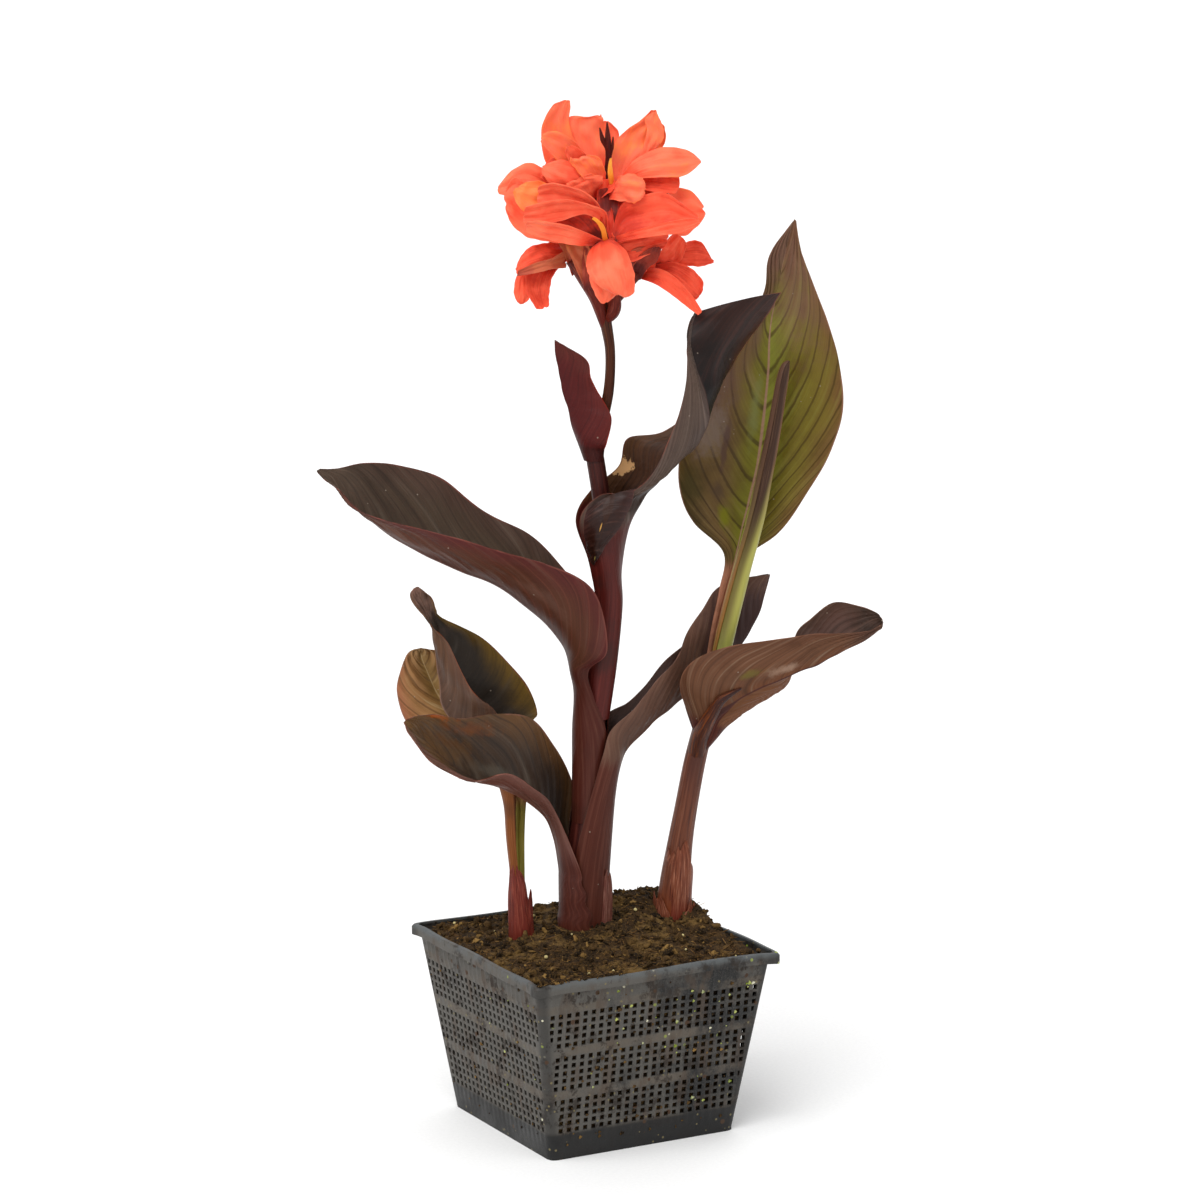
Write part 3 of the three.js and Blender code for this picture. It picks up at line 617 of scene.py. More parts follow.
@dataclass(frozen=True)
class LeafFinish:
    """How a leaf looks: both sides, the left half where it differs, its rim and its sheath."""

    upper: LeafSide
    under: LeafSide
    rim: str
    sheath: str = "#44221b"
    sheath_pale: str = "#613a30"
    sheath_end: float = 0.0
    lean: float = 0.2
    gloss: float = 0.46
    marks: tuple = ()
    upper_left: LeafSide | None = None
    under_left: LeafSide | None = None
    fold: float = 0.0
    pleats: float = 26.0
    veins: float = 0.16
    shine: float = 0.16
    richness: float = 1.12
    slant: float = 0.0

    def vein(self, across: object, along: object) -> object:
        """Where a side vein through this place leaves the midrib, for numbers or arrays."""
        return along - self.lean * np.abs(across) ** VEIN_BEND + VEIN_OFFSET * across

    @staticmethod
    def ground(p: Palette, side: LeafSide, a: object, t: object, noises: tuple) -> Socket:
        """Lays one set of colours over a leaf.

        Args:
            p: the palette to work with.
            side: the colours.
            a: how far across, from 0 at the midrib to 1.
            t: how far along.
            noises: the broad streaks, the patches and the crests of the side veins.

        Returns:
            The colour.
        """
        broad, patch, crest = noises
        shift = p.scaled(patch, 0.6, -0.3)
        a_, t_ = p.plus(a, shift), p.plus(t, shift)
        colour = p.tints(
            side.heart,
            (side.field, a_, 0.0, 0.55),
            (side.margin, a_, 0.6, 1.1),
            (side.tip, t_, 0.72, 1.02),
            # The pale broad streaks are partly the leaf's own streaks and partly painted sheen.
            (side.pale, broad, 0.52, 0.8, 0.5),
            (side.dark, broad, 0.5, 0.28, 0.5),
            (side.dark, patch, 0.5, 0.75, 0.4),
        )
        colour = p.mix(crest, colour, side.line or side.rib)
        beside = p.math("SUBTRACT", a, p.ease(t, 0.32, 0.14, 0.22))
        return p.tint(colour, side.rib, beside, 0.04, 0.015, 0.85)

    def marked(self, p: Palette, colour: object, v: object, t: object, broad: object) -> object:
        """Adds the marks.

        Args:
            p: the palette to work with.
            colour: the colour so far.
            v: the place across, from -1 to 1.
            t: the place along.
            broad: the broad streaks, which roughen the marks' outlines with finer noise.

        Returns:
            The new colour.
        """
        tear = p.clouds(p.place(), 95.0, 5.0, 0.7)
        for mark in self.marks:
            dx = p.scaled(p.scaled(v, 1.0, -mark.across), 1.0 / mark.stretch)
            dy = p.scaled(t, 1.0, -mark.along)
            far = p.math("SQRT", p.plus(p.times(dx, dx), p.times(dy, dy)))
            jag = mark.size * mark.ragged
            ragged = p.plus(far, p.scaled(tear, jag * 2, -jag))
            ragged = p.plus(ragged, p.scaled(broad, mark.size * 0.6, -mark.size * 0.3))
            colour = p.tint(colour, mark.colour, ragged, mark.size, mark.size * mark.soft, mark.share)
        return colour

    def sheathed(self, p: Palette, colour: object, v: object, t: object, patch: object, dark: str) -> object:
        """Turns the foot of a leaf into a streaked sheath.

        Args:
            p: the palette to work with.
            colour: the colour so far.
            v: the place across, from -1 to 1.
            t: the place along.
            patch: the noise of the patches.
            dark: their colour.

        Returns:
            The new colour.
        """
        stripe = p.clouds(p.join(p.scaled(v, 14.0), p.scaled(t, 5.0)), 1.0, 5.0, 0.65)
        foot = p.tint(self.sheath, self.sheath_pale, stripe, 0.42, 0.75, 0.7)
        foot = p.tint(foot, dark, patch, 0.5, 0.72, 0.45)
        reach = p.plus(p.plus(t, p.scaled(v, self.slant)), p.scaled(stripe, 0.06, -0.03))
        return p.tint(colour, foot, reach, self.sheath_end + SHEATH_BLUR, self.sheath_end - SHEATH_BLUR)

    def side(self, name: str, side: LeafSide, left: LeafSide | None) -> Skin:
        """Makes the material of one side.

        Args:
            name: the material's name.
            side: its colours.
            left: the colours left of the fold, or None.

        Returns:
            The material, which follows the veins through the UV map.
        """
        p = Palette(name)
        u, t = p.across_along()
        v = p.scaled(u, 2.0, -1.0)
        a = p.math("ABSOLUTE", v)
        vein = p.math("SUBTRACT", t, p.times(p.math("POWER", a, VEIN_BEND), self.lean))
        vein = p.plus(vein, p.scaled(v, VEIN_OFFSET))
        broad = p.clouds(p.join(p.scaled(vein, 30.0), p.scaled(v, 0.8)), 1.0, 4.0)
        fine = p.clouds(p.join(p.scaled(vein, 170.0), p.scaled(v, 1.5), 4.0), 1.0, 2.0)
        patch = p.clouds(p.place(), 26.0, 5.0, 0.6)
        phase = p.plus(p.scaled(vein, 2 * math.pi * self.pleats), p.scaled(patch, 3.0, -1.5))
        noises = (broad, patch, p.ease(p.math("COSINE", phase), 0.8, 1.0, self.veins))
        colour = self.ground(p, side, a, t, noises)
        if left is not None:
            other = self.ground(p, left, a, t, noises)
            colour = p.tint(colour, other, v, self.fold + FOLD_BLUR, self.fold - FOLD_BLUR)
        light = p.scaled(fine, 0.5, 0.75)
        colour = p.mix(1.0, colour, p.join(light, light, light), "MULTIPLY")
        colour = self.marked(p, colour, v, t, broad)
        rim = self.rim
        if self.sheath_end > 0:
            colour = self.sheathed(p, colour, v, t, patch, side.dark)
            rim = p.tint(side.dark, self.rim, t, self.sheath_end - 0.06, self.sheath_end + 0.04)
        colour = p.mix(p.flecks(170.0, 0.12, 0.07, 0.5, 0.9), colour, LEAF_DUST)
        colour = p.mix(p.times(p.ease(a, 0.975, 0.995), p.ease(patch, 0.35, 0.6)), colour, rim)
        relief = p.plus(broad, p.scaled(fine, 0.4))
        rough = p.scaled(fine, 0.2, self.gloss - 0.1)
        colour = p.deepened(colour, self.richness, 0.88)
        return p.finish(colour, rough, relief, 0.0004, Specular_IOR_Level=self.shine)

    def materials(self, name: str) -> list:
        """The materials of the upper side, the under side and the rim, in the order of Coat."""
        rim = Palette(name + "_rim")
        grain = rim.ease(rim.clouds(rim.place(), 90.0), 0.42, 0.68)
        colour = rim.deepened(rim.mix(grain, self.under.dark, self.rim), 1.2, 0.9)
        return [
            self.side(name + "_upper", self.upper, self.upper_left),
            self.side(name + "_under", self.under, self.under_left),
            rim.finish(colour, 0.5, Specular_IOR_Level=0.2),
        ]


@dataclass(frozen=True)
class StemFinish:
    """A waxy stem: its main colour, paler and darker streaks and the colour of its foot."""

    body: str
    pale: str
    dark: str
    foot: str
    foot_end: float = 0.0
    gloss: float = 0.4
    stripe: float = -1.0

    def material(self, name: str) -> Skin:
        """Makes the material, with streaks that run along the UV map."""
        p = Palette(name)
        u, t = p.across_along()
        turn = p.times(u, 2 * math.pi)
        ring = (p.math("COSINE", turn), p.math("SINE", turn))
        wide = [p.times(c, 5.0) for c in ring]
        thin = [p.times(c, 22.0) for c in ring]
        streak = p.clouds(p.join(*wide, p.times(t, 5.0)), 1.0, 4.0)
        hair = p.clouds(p.join(*thin, p.times(t, 9.0)), 1.0, 2.0)
        colour = p.tints(
            self.body,
            (self.pale, streak, 0.5, 0.72),
            (self.dark, streak, 0.48, 0.3),
            (self.dark, hair, 0.45, 0.7, 0.4),
        )
        if self.foot_end > 0:
            colour = p.tint(colour, self.foot, t, self.foot_end, self.foot_end * 0.4)
        if self.stripe >= 0:
            off = p.math("ABSOLUTE", p.scaled(u, 1.0, -self.stripe))
            line = p.times(p.ease(off, 0.15, 0.08, 0.8), p.ease(t, 0.5, 0.75))
            colour = p.mix(line, colour, self.dark)
        spots = p.specks(p.place(), 260.0).outputs["Distance"]
        colour = p.tint(colour, self.pale, spots, 0.1, 0.05, 0.5)
        colour = p.deepened(colour, 1.08, 0.86)
        return p.finish(colour, self.gloss, hair, 0.0003, Specular_IOR_Level=0.2)


@dataclass(frozen=True)
class PetalFinish:
    """A soft petal: five tones, from the deepest to the most orange, its gloss and its glow."""

    tones: tuple
    gloss: float = 0.55
    glow: float = 0.25

    def material(self, name: str) -> Skin:
        """Makes the material, whose tone follows the stored number, a throat darker partly in its own colour
        and partly as painted shade, and fanning veins.
        """
        p = Palette(name)
        u, t = p.across_along()
        v = p.scaled(u, 2.0, -1.0)
        a = p.math("ABSOLUTE", v)
        veins = p.clouds(p.join(p.scaled(v, 7.0), p.scaled(t, 1.6), p.scaled(p.tone(), 9.0)), 1.0, 4.0)
        patch = p.clouds(p.place(), 75.0, 4.0)
        tone = p.plus(p.tone(), p.scaled(patch, 0.6, -0.3))
        tone = p.plus(tone, p.scaled(veins, 0.3, -0.15))
        # Darker towards the petal's foot: partly the throat's own deeper colour, partly painted shade deep in
        # the bloom.
        tone = p.math("SUBTRACT", tone, p.ease(t, 0.42, 0.0, 0.3))
        tone = p.plus(tone, p.ease(a, 0.8, 1.0, 0.06))
        colour = self.tones[0]
        for step, code in enumerate(self.tones[1:]):
            low = step * PETAL_TONE_STEP
            colour = p.tint(colour, code, tone, low, low + PETAL_TONE_STEP)
        return p.finish(
            colour, self.gloss, veins, 0.0005, Specular_IOR_Level=0.22, Subsurface_Weight=self.glow,
            Subsurface_Radius=(0.004, 0.0012, 0.0006), Sheen_Weight=0.1, Sheen_Roughness=0.4,
        )


# ---------------------------------------------------------------------------------------------
# Stations of leaves and petals.


@dataclass(frozen=True)
class Wrap:
    """A sheath round a stem: its axis point, radius, middle direction and reach each way, in degrees."""

    centre: Point
    radius: float
    azimuth: float
    left: float
    right: float

    def middle(self) -> np.ndarray:
        """The point under the midrib."""
        return self.row(np.zeros(1), np.zeros(3))[0]

    def row(self, across: np.ndarray, along: np.ndarray) -> np.ndarray:
        """The points of this station, from the left margin to the right."""
        reach = np.where(across > 0, self.right, self.left)
        angle = np.radians(self.azimuth - across * reach)
        return np.array(self.centre) + ring_of(angle) * self.radius


@dataclass(frozen=True)
class Blade:
    """An open station: left margin, midrib, right margin, and how far each half bellies out below."""

    left: Point
    mid: Point
    right: Point
    belly_left: float = 0.08
    belly_right: float = 0.08

    def middle(self) -> np.ndarray:
        """The point on the midrib."""
        return np.array(self.mid, float)

    def row(self, across: np.ndarray, along: np.ndarray) -> np.ndarray:
        """The points of this station, from the left margin to the right."""
        m = self.middle()
        out = np.empty((len(across), 3))
        halves = (
            (across > 0, self.right, 1, self.belly_right),
            (across <= 0, self.left, -1, self.belly_left),
        )
        for mask, margin, side, belly in halves:
            t = np.abs(across[mask])[:, None]
            chord = np.array(margin, float) - m
            under = -side * unit(np.cross(chord, along)) * np.linalg.norm(chord) * belly
            out[mask] = m + chord * t + under * 4 * t * (1 - t)
        return out


@dataclass(frozen=True)
class Petal:
    """A petal as rows from base to tip.

    Each row holds the place of its left and its right margin in the camera's frame, 1200 wide, and
    its depth in millimetres. tone picks its colour, cup hollows it, tilt turns its right margin away, tip
    rounds its end.
    """

    rows: tuple
    tone: float = 0.5
    cup: float = 0.2
    tilt: float = 0.0
    ruffle: float = 0.05
    tip: float = 0.3


@dataclass(frozen=True)
class Husk:
    """A scale that clasps a shoot, from foot to torn top, each with its radius."""

    foot: Point
    top: Point
    foot_radius: float
    top_radius: float
    azimuth: float
    reach: float
    torn: float = 0.12


CULM = (
    (-7, 18, 96, 11), (-7, 18, 131, 14), (-6, 18, 176, 14), (-3, 20, 215, 11.4), (-2, 20, 250, 11.2),
    (-1, 20, 270, 10.2), (0, 20, 290, 8.8), (5, 20, 318, 8.4), (9.5, 20, 345, 8.2), (11, 20, 370, 8),
    (10, 20, 398, 7.4), (8, 20, 418, 6.6), (6, 20, 441, 6.2),
    (1.4, 20, 472, 6.2), (6, 20, 494, 4.2), (11, 20, 518, 3.6), (12, 20, 545, 3.5), (8.6, 20, 570, 4.2),
    (8, 20, 600, 3.4), (8, 20, 640, 2.4), (9, 20, 668, 1.3),
)
SPIKE = (
    ((9, 20, 664, 1.4), (12, 20, 680, 1.1), (13.4, 19, 686, 1.1), (14, 19, 693, 0.4)),
    ((9, 20, 664, 1.4), (11, 20, 680, 1.5), (10.4, 19, 691, 2.1), (9.8, 19, 703, 0.4)),
    ((9, 20, 668, 1.2), (10, 20, 683, 1.3), (6.8, 20, 691, 1.7), (4.8, 20, 699, 0.4)),
)
OVARIES = (
    ((8, 20, 562, 2.6), (3, 14, 582, 5), (-4, 11, 594, 5), (-9, 9, 603, 5.4), (-15, 7, 610, 4)),
    ((9, 20, 572, 2.6), (17, 16, 584, 4.2), (25, 13, 594, 4.2), (32, 12, 600, 3)),
    ((10, 19, 566, 2.4), (15, 14, 576, 4.6), (16, 12, 592, 2)),
)
RIGHT_STEM = (
    (55, 44, 92, 8), (56, 44, 129, 11), (58, 44, 158, 10.6), (62, 44, 190, 8.8), (67, 44, 220, 8),
    (72, 44, 248, 7.8), (76.5, 43.5, 268, 7.4), (81, 43, 286, 6.2),
)
LEFT_STEM = (
    (-51, 4, 92, 5.6), (-51, 4, 128, 7.2), (-52, 4, 150, 6.2), (-53, 4, 166, 4.6),
)
ROLLED_LINE = (
    (80.6, 43.2, 284, 4.6), (83, 42, 296, 5.4), (87, 40, 312, 6.2), (92, 40, 334, 6.8), (98, 41, 360, 7),
    (105, 42, 388, 6.6),
    (110.4, 43, 408, 6.6), (115.8, 44, 430, 6.5), (120.4, 46, 453, 6.1), (125.4, 48, 478, 5.5),
    (130, 50, 505, 4.9), (132.6, 51, 521, 4.5), (134.6, 51.6, 530, 3.4), (137, 52, 534, 0.9),
)
UPPER_LEFT_LEAF = (
    Wrap((-2.5, 20, 212), 12.4, 180, 160, 160),
    Wrap((-1.8, 20, 248), 12.7, 180, 160, 160),
    Wrap((-1.5, 20, 278), 12.9, 180, 146, 158),
    Wrap((-0.5, 20, 303), 12.8, 180, 96, 158),
    Blade((-3, 4, 323), (-16, 18, 322), (8, 37, 324), 0.3, 0.3),
    Blade((10, -2, 340), (-21, 14, 340), (4, 42, 354), 0.26, 0.2),
    Blade((0, -14, 384), (-38, 9, 361), (-24, 46, 391), 0.2, 0.12),
    Blade((-33, -26, 404), (-63, 2, 382), (-45, 48, 412), 0.12, 0.1),
    Blade((-65, -32, 415), (-90, -4, 395), (-78, 46, 429), 0.08, 0.08),
    Blade((-96, -34, 424), (-119, -8, 409), (-106, 40, 453)),
    Blade((-128, -30, 432), (-145, -8, 425), (-134, 28, 464)),
    Blade((-160, -18, 440), (-167, -8, 445), (-158, 14, 468)),
    Blade((-179, -8, 455), (-180, -5, 458), (-176, 3, 466)),
    Blade((-189, -5, 464), (-190, -4, 465.5), (-188, -2, 466.5)),
)
LOWER_LEFT_LEAF = (
    Wrap((-7, 18, 116), 17.6, 190, 112, 160),
    Wrap((-7, 18, 124), 17.6, 190, 103, 160),
    Wrap((-7, 18, 133), 17.8, 190, 106, 160),
    Wrap((-7, 18, 141), 17.9, 190, 94, 160),
    Wrap((-6, 18, 148), 18, 190, 97, 160),
    Wrap((-6, 18, 156), 18, 190, 83, 158),
    Wrap((-6, 18, 163), 18.1, 190, 84, 157),
    Wrap((-6, 18, 171), 18.1, 190, 74, 156),
    Wrap((-6, 18, 180), 18.2, 190, 72, 155),
    Blade((-20, -1, 209), (-27, 10, 201), (-8, 37, 207), 0.1, 0.26),
    Blade((-30, -12, 233), (-34, 0, 220), (-15, 32, 238), 0.1, 0.18),
    Blade((-41, -30, 247), (-47, -14, 235), (-28, 18, 267)),
    Blade((-58, -48, 261), (-64, -28, 247), (-44, 2, 290)),
    Blade((-80, -62, 260), (-82, -44, 257), (-69, -14, 296)),
    Blade((-99, -72, 269), (-99, -58, 273), (-90, -32, 297)),
    Blade((-115, -80, 281), (-114, -70, 290), (-109, -50, 304)),
    Blade((-124, -84, 297), (-123, -80, 302), (-120, -72, 307)),
    Blade((-127, -83, 304), (-128, -82, 305.5), (-126, -80, 307)),
)
MIDDLE_RIGHT_LEAF = (
    Wrap((-6, 18, 116), 15.8, 0, 160, 150),
    Wrap((-5, 18, 160), 15.9, 0, 160, 135),
    Wrap((-2.6, 19, 200), 15.9, 0, 160, 118),
    Wrap((0.6, 20, 232), 15.4, 0, 150, 98),
    Blade((-2, 37, 260), (20, 21, 254), (7, 6, 262), 0.24, 0.2),
    Blade((8, 42, 282), (25, 26, 264), (13, 12, 279), 0.1, 0.1),
    Blade((24, 50, 290), (37, 32, 275), (30, 18, 294)),
    Blade((37, 58, 301), (49, 38, 285), (44, 26, 310)),
    Blade((51, 66, 317), (62, 46, 294), (57, 34, 324)),
    Blade((69, 74, 331), (79, 55, 306), (66, 45, 341)),
    Blade((87, 80, 350), (95, 62, 318), (77, 54, 356)),
    Blade((101, 84, 363), (109, 68, 335), (87, 61, 370)),
    Blade((113, 82, 374), (119, 71, 355), (103, 68, 376)),
    Blade((124, 77, 378), (125.5, 75, 378), (123, 73, 378)),
)
SCROLLED_LEAF = (
    Wrap((1, 20, 286), 10.2, 0, 160, 160),
    Wrap((7, 20, 325), 9.8, 0, 160, 160),
    Wrap((11, 20, 366), 9.6, 0, 160, 158),
    Blade((-3, 30, 396), (20, 20, 392), (-2, 10, 396), 0.4, 0.4),
    Blade((-12, 38, 424), (25, 18, 423), (-9, 5, 429), 0.34, 0.3),
    Blade((-1, 40, 445), (35, 14, 443), (4, 1, 447), 0.24, 0.2),
    Blade((18, 38, 462), (46, 10, 457), (23, -4, 450), 0.16, 0.14),
    Blade((24, 34, 482), (59, 8, 470), (41, -8, 464), 0.1, 0.1),
    Blade((49, 32, 487), (72, 4, 483), (52, -10, 487), 0.1, 0.1),
    Blade((71, 34, 501), (79, 0, 502), (59, -12, 507), 0.12, 0.1),
    Blade((86, 36, 520), (77, -2, 518), (64, -12, 528), 0.16, 0.1),
    Blade((99, 36, 538), (71, 0, 535), (65, -6, 544), 0.16, 0.1),
    Blade((112, 34, 555), (67, 4, 549), (64, 1, 554), 0.16, 0.1),
    Blade((122, 30, 573), (68, 10, 564), (66, 8, 565), 0.16, 0.1),
    Blade((130, 26, 585), (72, 14, 573), (70, 13, 573), 0.12, 0.1),
)
SCROLLED_COLLAR = (
    Blade((-4, 3.4, 437), (12, -1.6, 448), (29, -5, 453)),
    Blade((-5.4, 1, 430.5), (10, -6, 435), (26, -6, 441)),
    Blade((-6.1, 2.5, 420), (6, -5, 421), (19.6, -4.5, 427)),
    Blade((-4.7, 5.5, 410), (2, -1, 410), (10, -1.5, 415)),
    Blade((-1.2, 7, 401), (1, 4, 400.5), (3.6, 3, 403)),
    Blade((0, 7, 398), (0.3, 6.6, 397.5), (0.8, 6.4, 398)),
)
LOW_RIGHT_MIDRIB = (
    (72, 44, 243, 4.6), (73.4, 41.6, 256, 6.2), (75.6, 35, 269, 6.2), (79.4, 27, 280, 5.6),
    (84, 21, 289.5, 4.6), (89.4, 16.4, 299, 3.6),
    (96.8, 15.4, 304.4, 2.2), (104, 15.6, 308, 0.8),
)
TALL_RIGHT_LEAF = (
    Blade((83, 51, 300), (80, 52, 300), (77, 51, 300), 0.2, 0.2),
    Blade((91, 49, 342), (87, 51, 342), (83, 49, 342), 0.2, 0.2),
    Blade((99, 52, 371), (94, 55, 371), (89, 52, 371), 0.2, 0.2),
    Blade((109, 58, 394), (101, 59, 395), (92, 56, 397), 0.1, 0.1),
    Blade((131, 60, 411), (105, 62, 413), (71, 60, 418)),
    Blade((151, 62, 439), (110, 66, 432), (61, 60, 441)),
    Blade((168, 64, 469), (116, 69, 458), (61, 64, 466)),
    Blade((176, 66, 499), (120, 71, 490), (67, 66, 492)),
    Blade((173, 66, 529), (123, 71, 524), (82, 66, 520)),
    Blade((165, 64, 558), (124, 69, 554), (103, 66, 548)),
    Blade((154, 62, 587), (129, 66, 582), (119, 62, 580)),
    Blade((145, 60, 611), (134, 62, 609), (123, 60, 607)),
    Blade((141.5, 60, 631), (140.5, 61, 632), (139, 61, 630)),
)
LOW_RIGHT_LEAF = (
    Blade((79, 42, 256), (76.5, 40, 256), (72.5, 42, 256), 0.2, 0.2),
    Blade((88, 37, 268), (82, 32, 269), (72, 36, 269), 0.2, 0.2),
    Blade((95, 34, 277), (87, 28, 283), (65, 27, 292), 0.12, 0.16),
    Blade((104, 36, 283), (95, 25, 292), (61, 20, 312), 0.12, 0.16),
    Blade((114, 38, 290), (105, 22, 301), (71, 16, 328), 0.12, 0.16),
    Blade((127, 38, 299), (118, 20, 308), (94, 14, 338), 0.12, 0.14),
    Blade((139, 38, 311), (132, 19, 314), (120, 15, 342), 0.1, 0.12),
    Blade((143, 41, 341), (146, 21, 320), (139, 18, 344), 0.1, 0.12),
    Blade((154, 42, 353), (161, 22, 326), (153, 19, 346), 0.1, 0.12),
    Blade((169, 42, 364), (175, 24, 333), (172, 21, 346), 0.1, 0.12),
    Blade((187, 40, 362), (190, 27, 340), (191, 25, 346.5), 0.1, 0.1),
    Blade((199, 37, 358), (201, 31, 347), (200.5, 29, 349.5)),
    Blade((203, 34, 354), (203.5, 32.5, 352), (203, 32, 351)),
)
LEFT_FOLDED_LEAF = (
    Blade((-50, -1, 136), (-54, 2, 136), (-51, 5, 136), 0.3, 0.3),
    Blade((-52, -2.5, 175), (-57.5, 1, 174), (-53, 6, 173), 0.3, 0.3),
    Blade((-54, -3.5, 204), (-60.5, 0.5, 203), (-54, 7, 201), 0.3, 0.3),
    Blade((-55, -2, 233), (-63, 3, 231), (-54, 11, 229), 0.2, 0.2),
    Blade((-57, -1, 262), (-72, 6, 256), (-53, 18, 262)),
    Blade((-60, -3, 282), (-89, 5, 275), (-43, 22, 282)),
    Blade((-69, -8, 298), (-102, 4, 293), (-39, 24, 289)),
    Blade((-80, -16, 310), (-106, 2, 310), (-46, 24, 308)),
    Blade((-91, -14, 326), (-108, 2, 327), (-60, 22, 326)),
    Blade((-101, -8, 345), (-110, 2, 344), (-79, 16, 345)),
    Blade((-110, -2, 355), (-112, 2, 357), (-105, 8, 360)),
    Blade((-117, 0, 361), (-115, 3, 365), (-109, 4, 367)),
    Blade((-126, 0, 375), (-120, 3, 376), (-113, 3, 376)),
    Blade((-124, 0, 382), (-122, 1, 383), (-121, 2, 383)),
)
LEFT_REAR_LEAF = (
    Blade((-47.5, 6, 136), (-50.5, 8.5, 136), (-54, 8.5, 136), 0.2, 0.2),
    Blade((-48, 10, 175), (-51.5, 13, 175), (-56, 12, 175), 0.2, 0.2),
    Blade((-48, 13, 204), (-52, 16, 204), (-57, 14, 204), 0.2, 0.2),
    Blade((-46.5, 18, 229), (-52, 20, 228), (-58, 18, 229), 0.2, 0.2),
    Blade((-42, 28, 250), (-62, 28, 248), (-81, 26, 245)),
    Blade((-48, 36, 272), (-81, 34, 264), (-115, 28, 264)),
    Blade((-64, 40, 292), (-97, 38, 283), (-132, 30, 282)),
    Blade((-79, 42, 306), (-110, 40, 299), (-138, 32, 302)),
    Blade((-93, 42, 319), (-117, 40, 315), (-135, 34, 318)),
    Blade((-107, 40, 329), (-121, 38, 327), (-130, 36, 329)),
    Blade((-119, 37, 332), (-121, 37, 332.5), (-124, 36, 332)),
)
SPATHE = (
    Wrap((1.2, 20, 469), 7.2, 180, 150, 150),
    Wrap((0.8, 20, 476), 9.2, 180, 136, 136),
    Blade((10, 6, 484), (-14, 19, 492), (10, 34, 482), 0.16, 0.16),
    Blade((13, 8, 500), (-16.5, 19, 505), (12, 32, 498), 0.12, 0.12),
    Blade((7, 12, 512), (-20.5, 20, 517), (6, 29, 511), 0.1, 0.1),
    Blade((-1, 15, 526), (-23, 20, 531), (-1, 25, 525)),
    Blade((-4, 18, 539), (-25.5, 20, 543), (-4, 23, 538)),
    Blade((-20, 19, 549), (-26, 20, 553), (-20, 21.5, 549)),
)
BLOOM_HEAD_TUBES = (
    ((8, 20, 610, 5.6), (8, 20, 664, 5.2)),
    ((8, 19, 614, 2.8), (6, 6, 622, 3.8), (6, -4, 628, 4.4)),
    ((9, 19, 616, 2.8), (13, 8, 623, 3.2), (16, 2, 628, 3)),
    ((7, 21, 632, 2.8), (-6, 25, 638, 3.8), (-15, 26, 640, 4.4)),
    ((7, 21, 648, 2.8), (4, 27, 655, 3.6), (1, 28, 661, 4.2)),
    ((9, 20, 648, 2.8), (14, 22, 655, 3.6), (18, 22, 660, 4.2)),
)
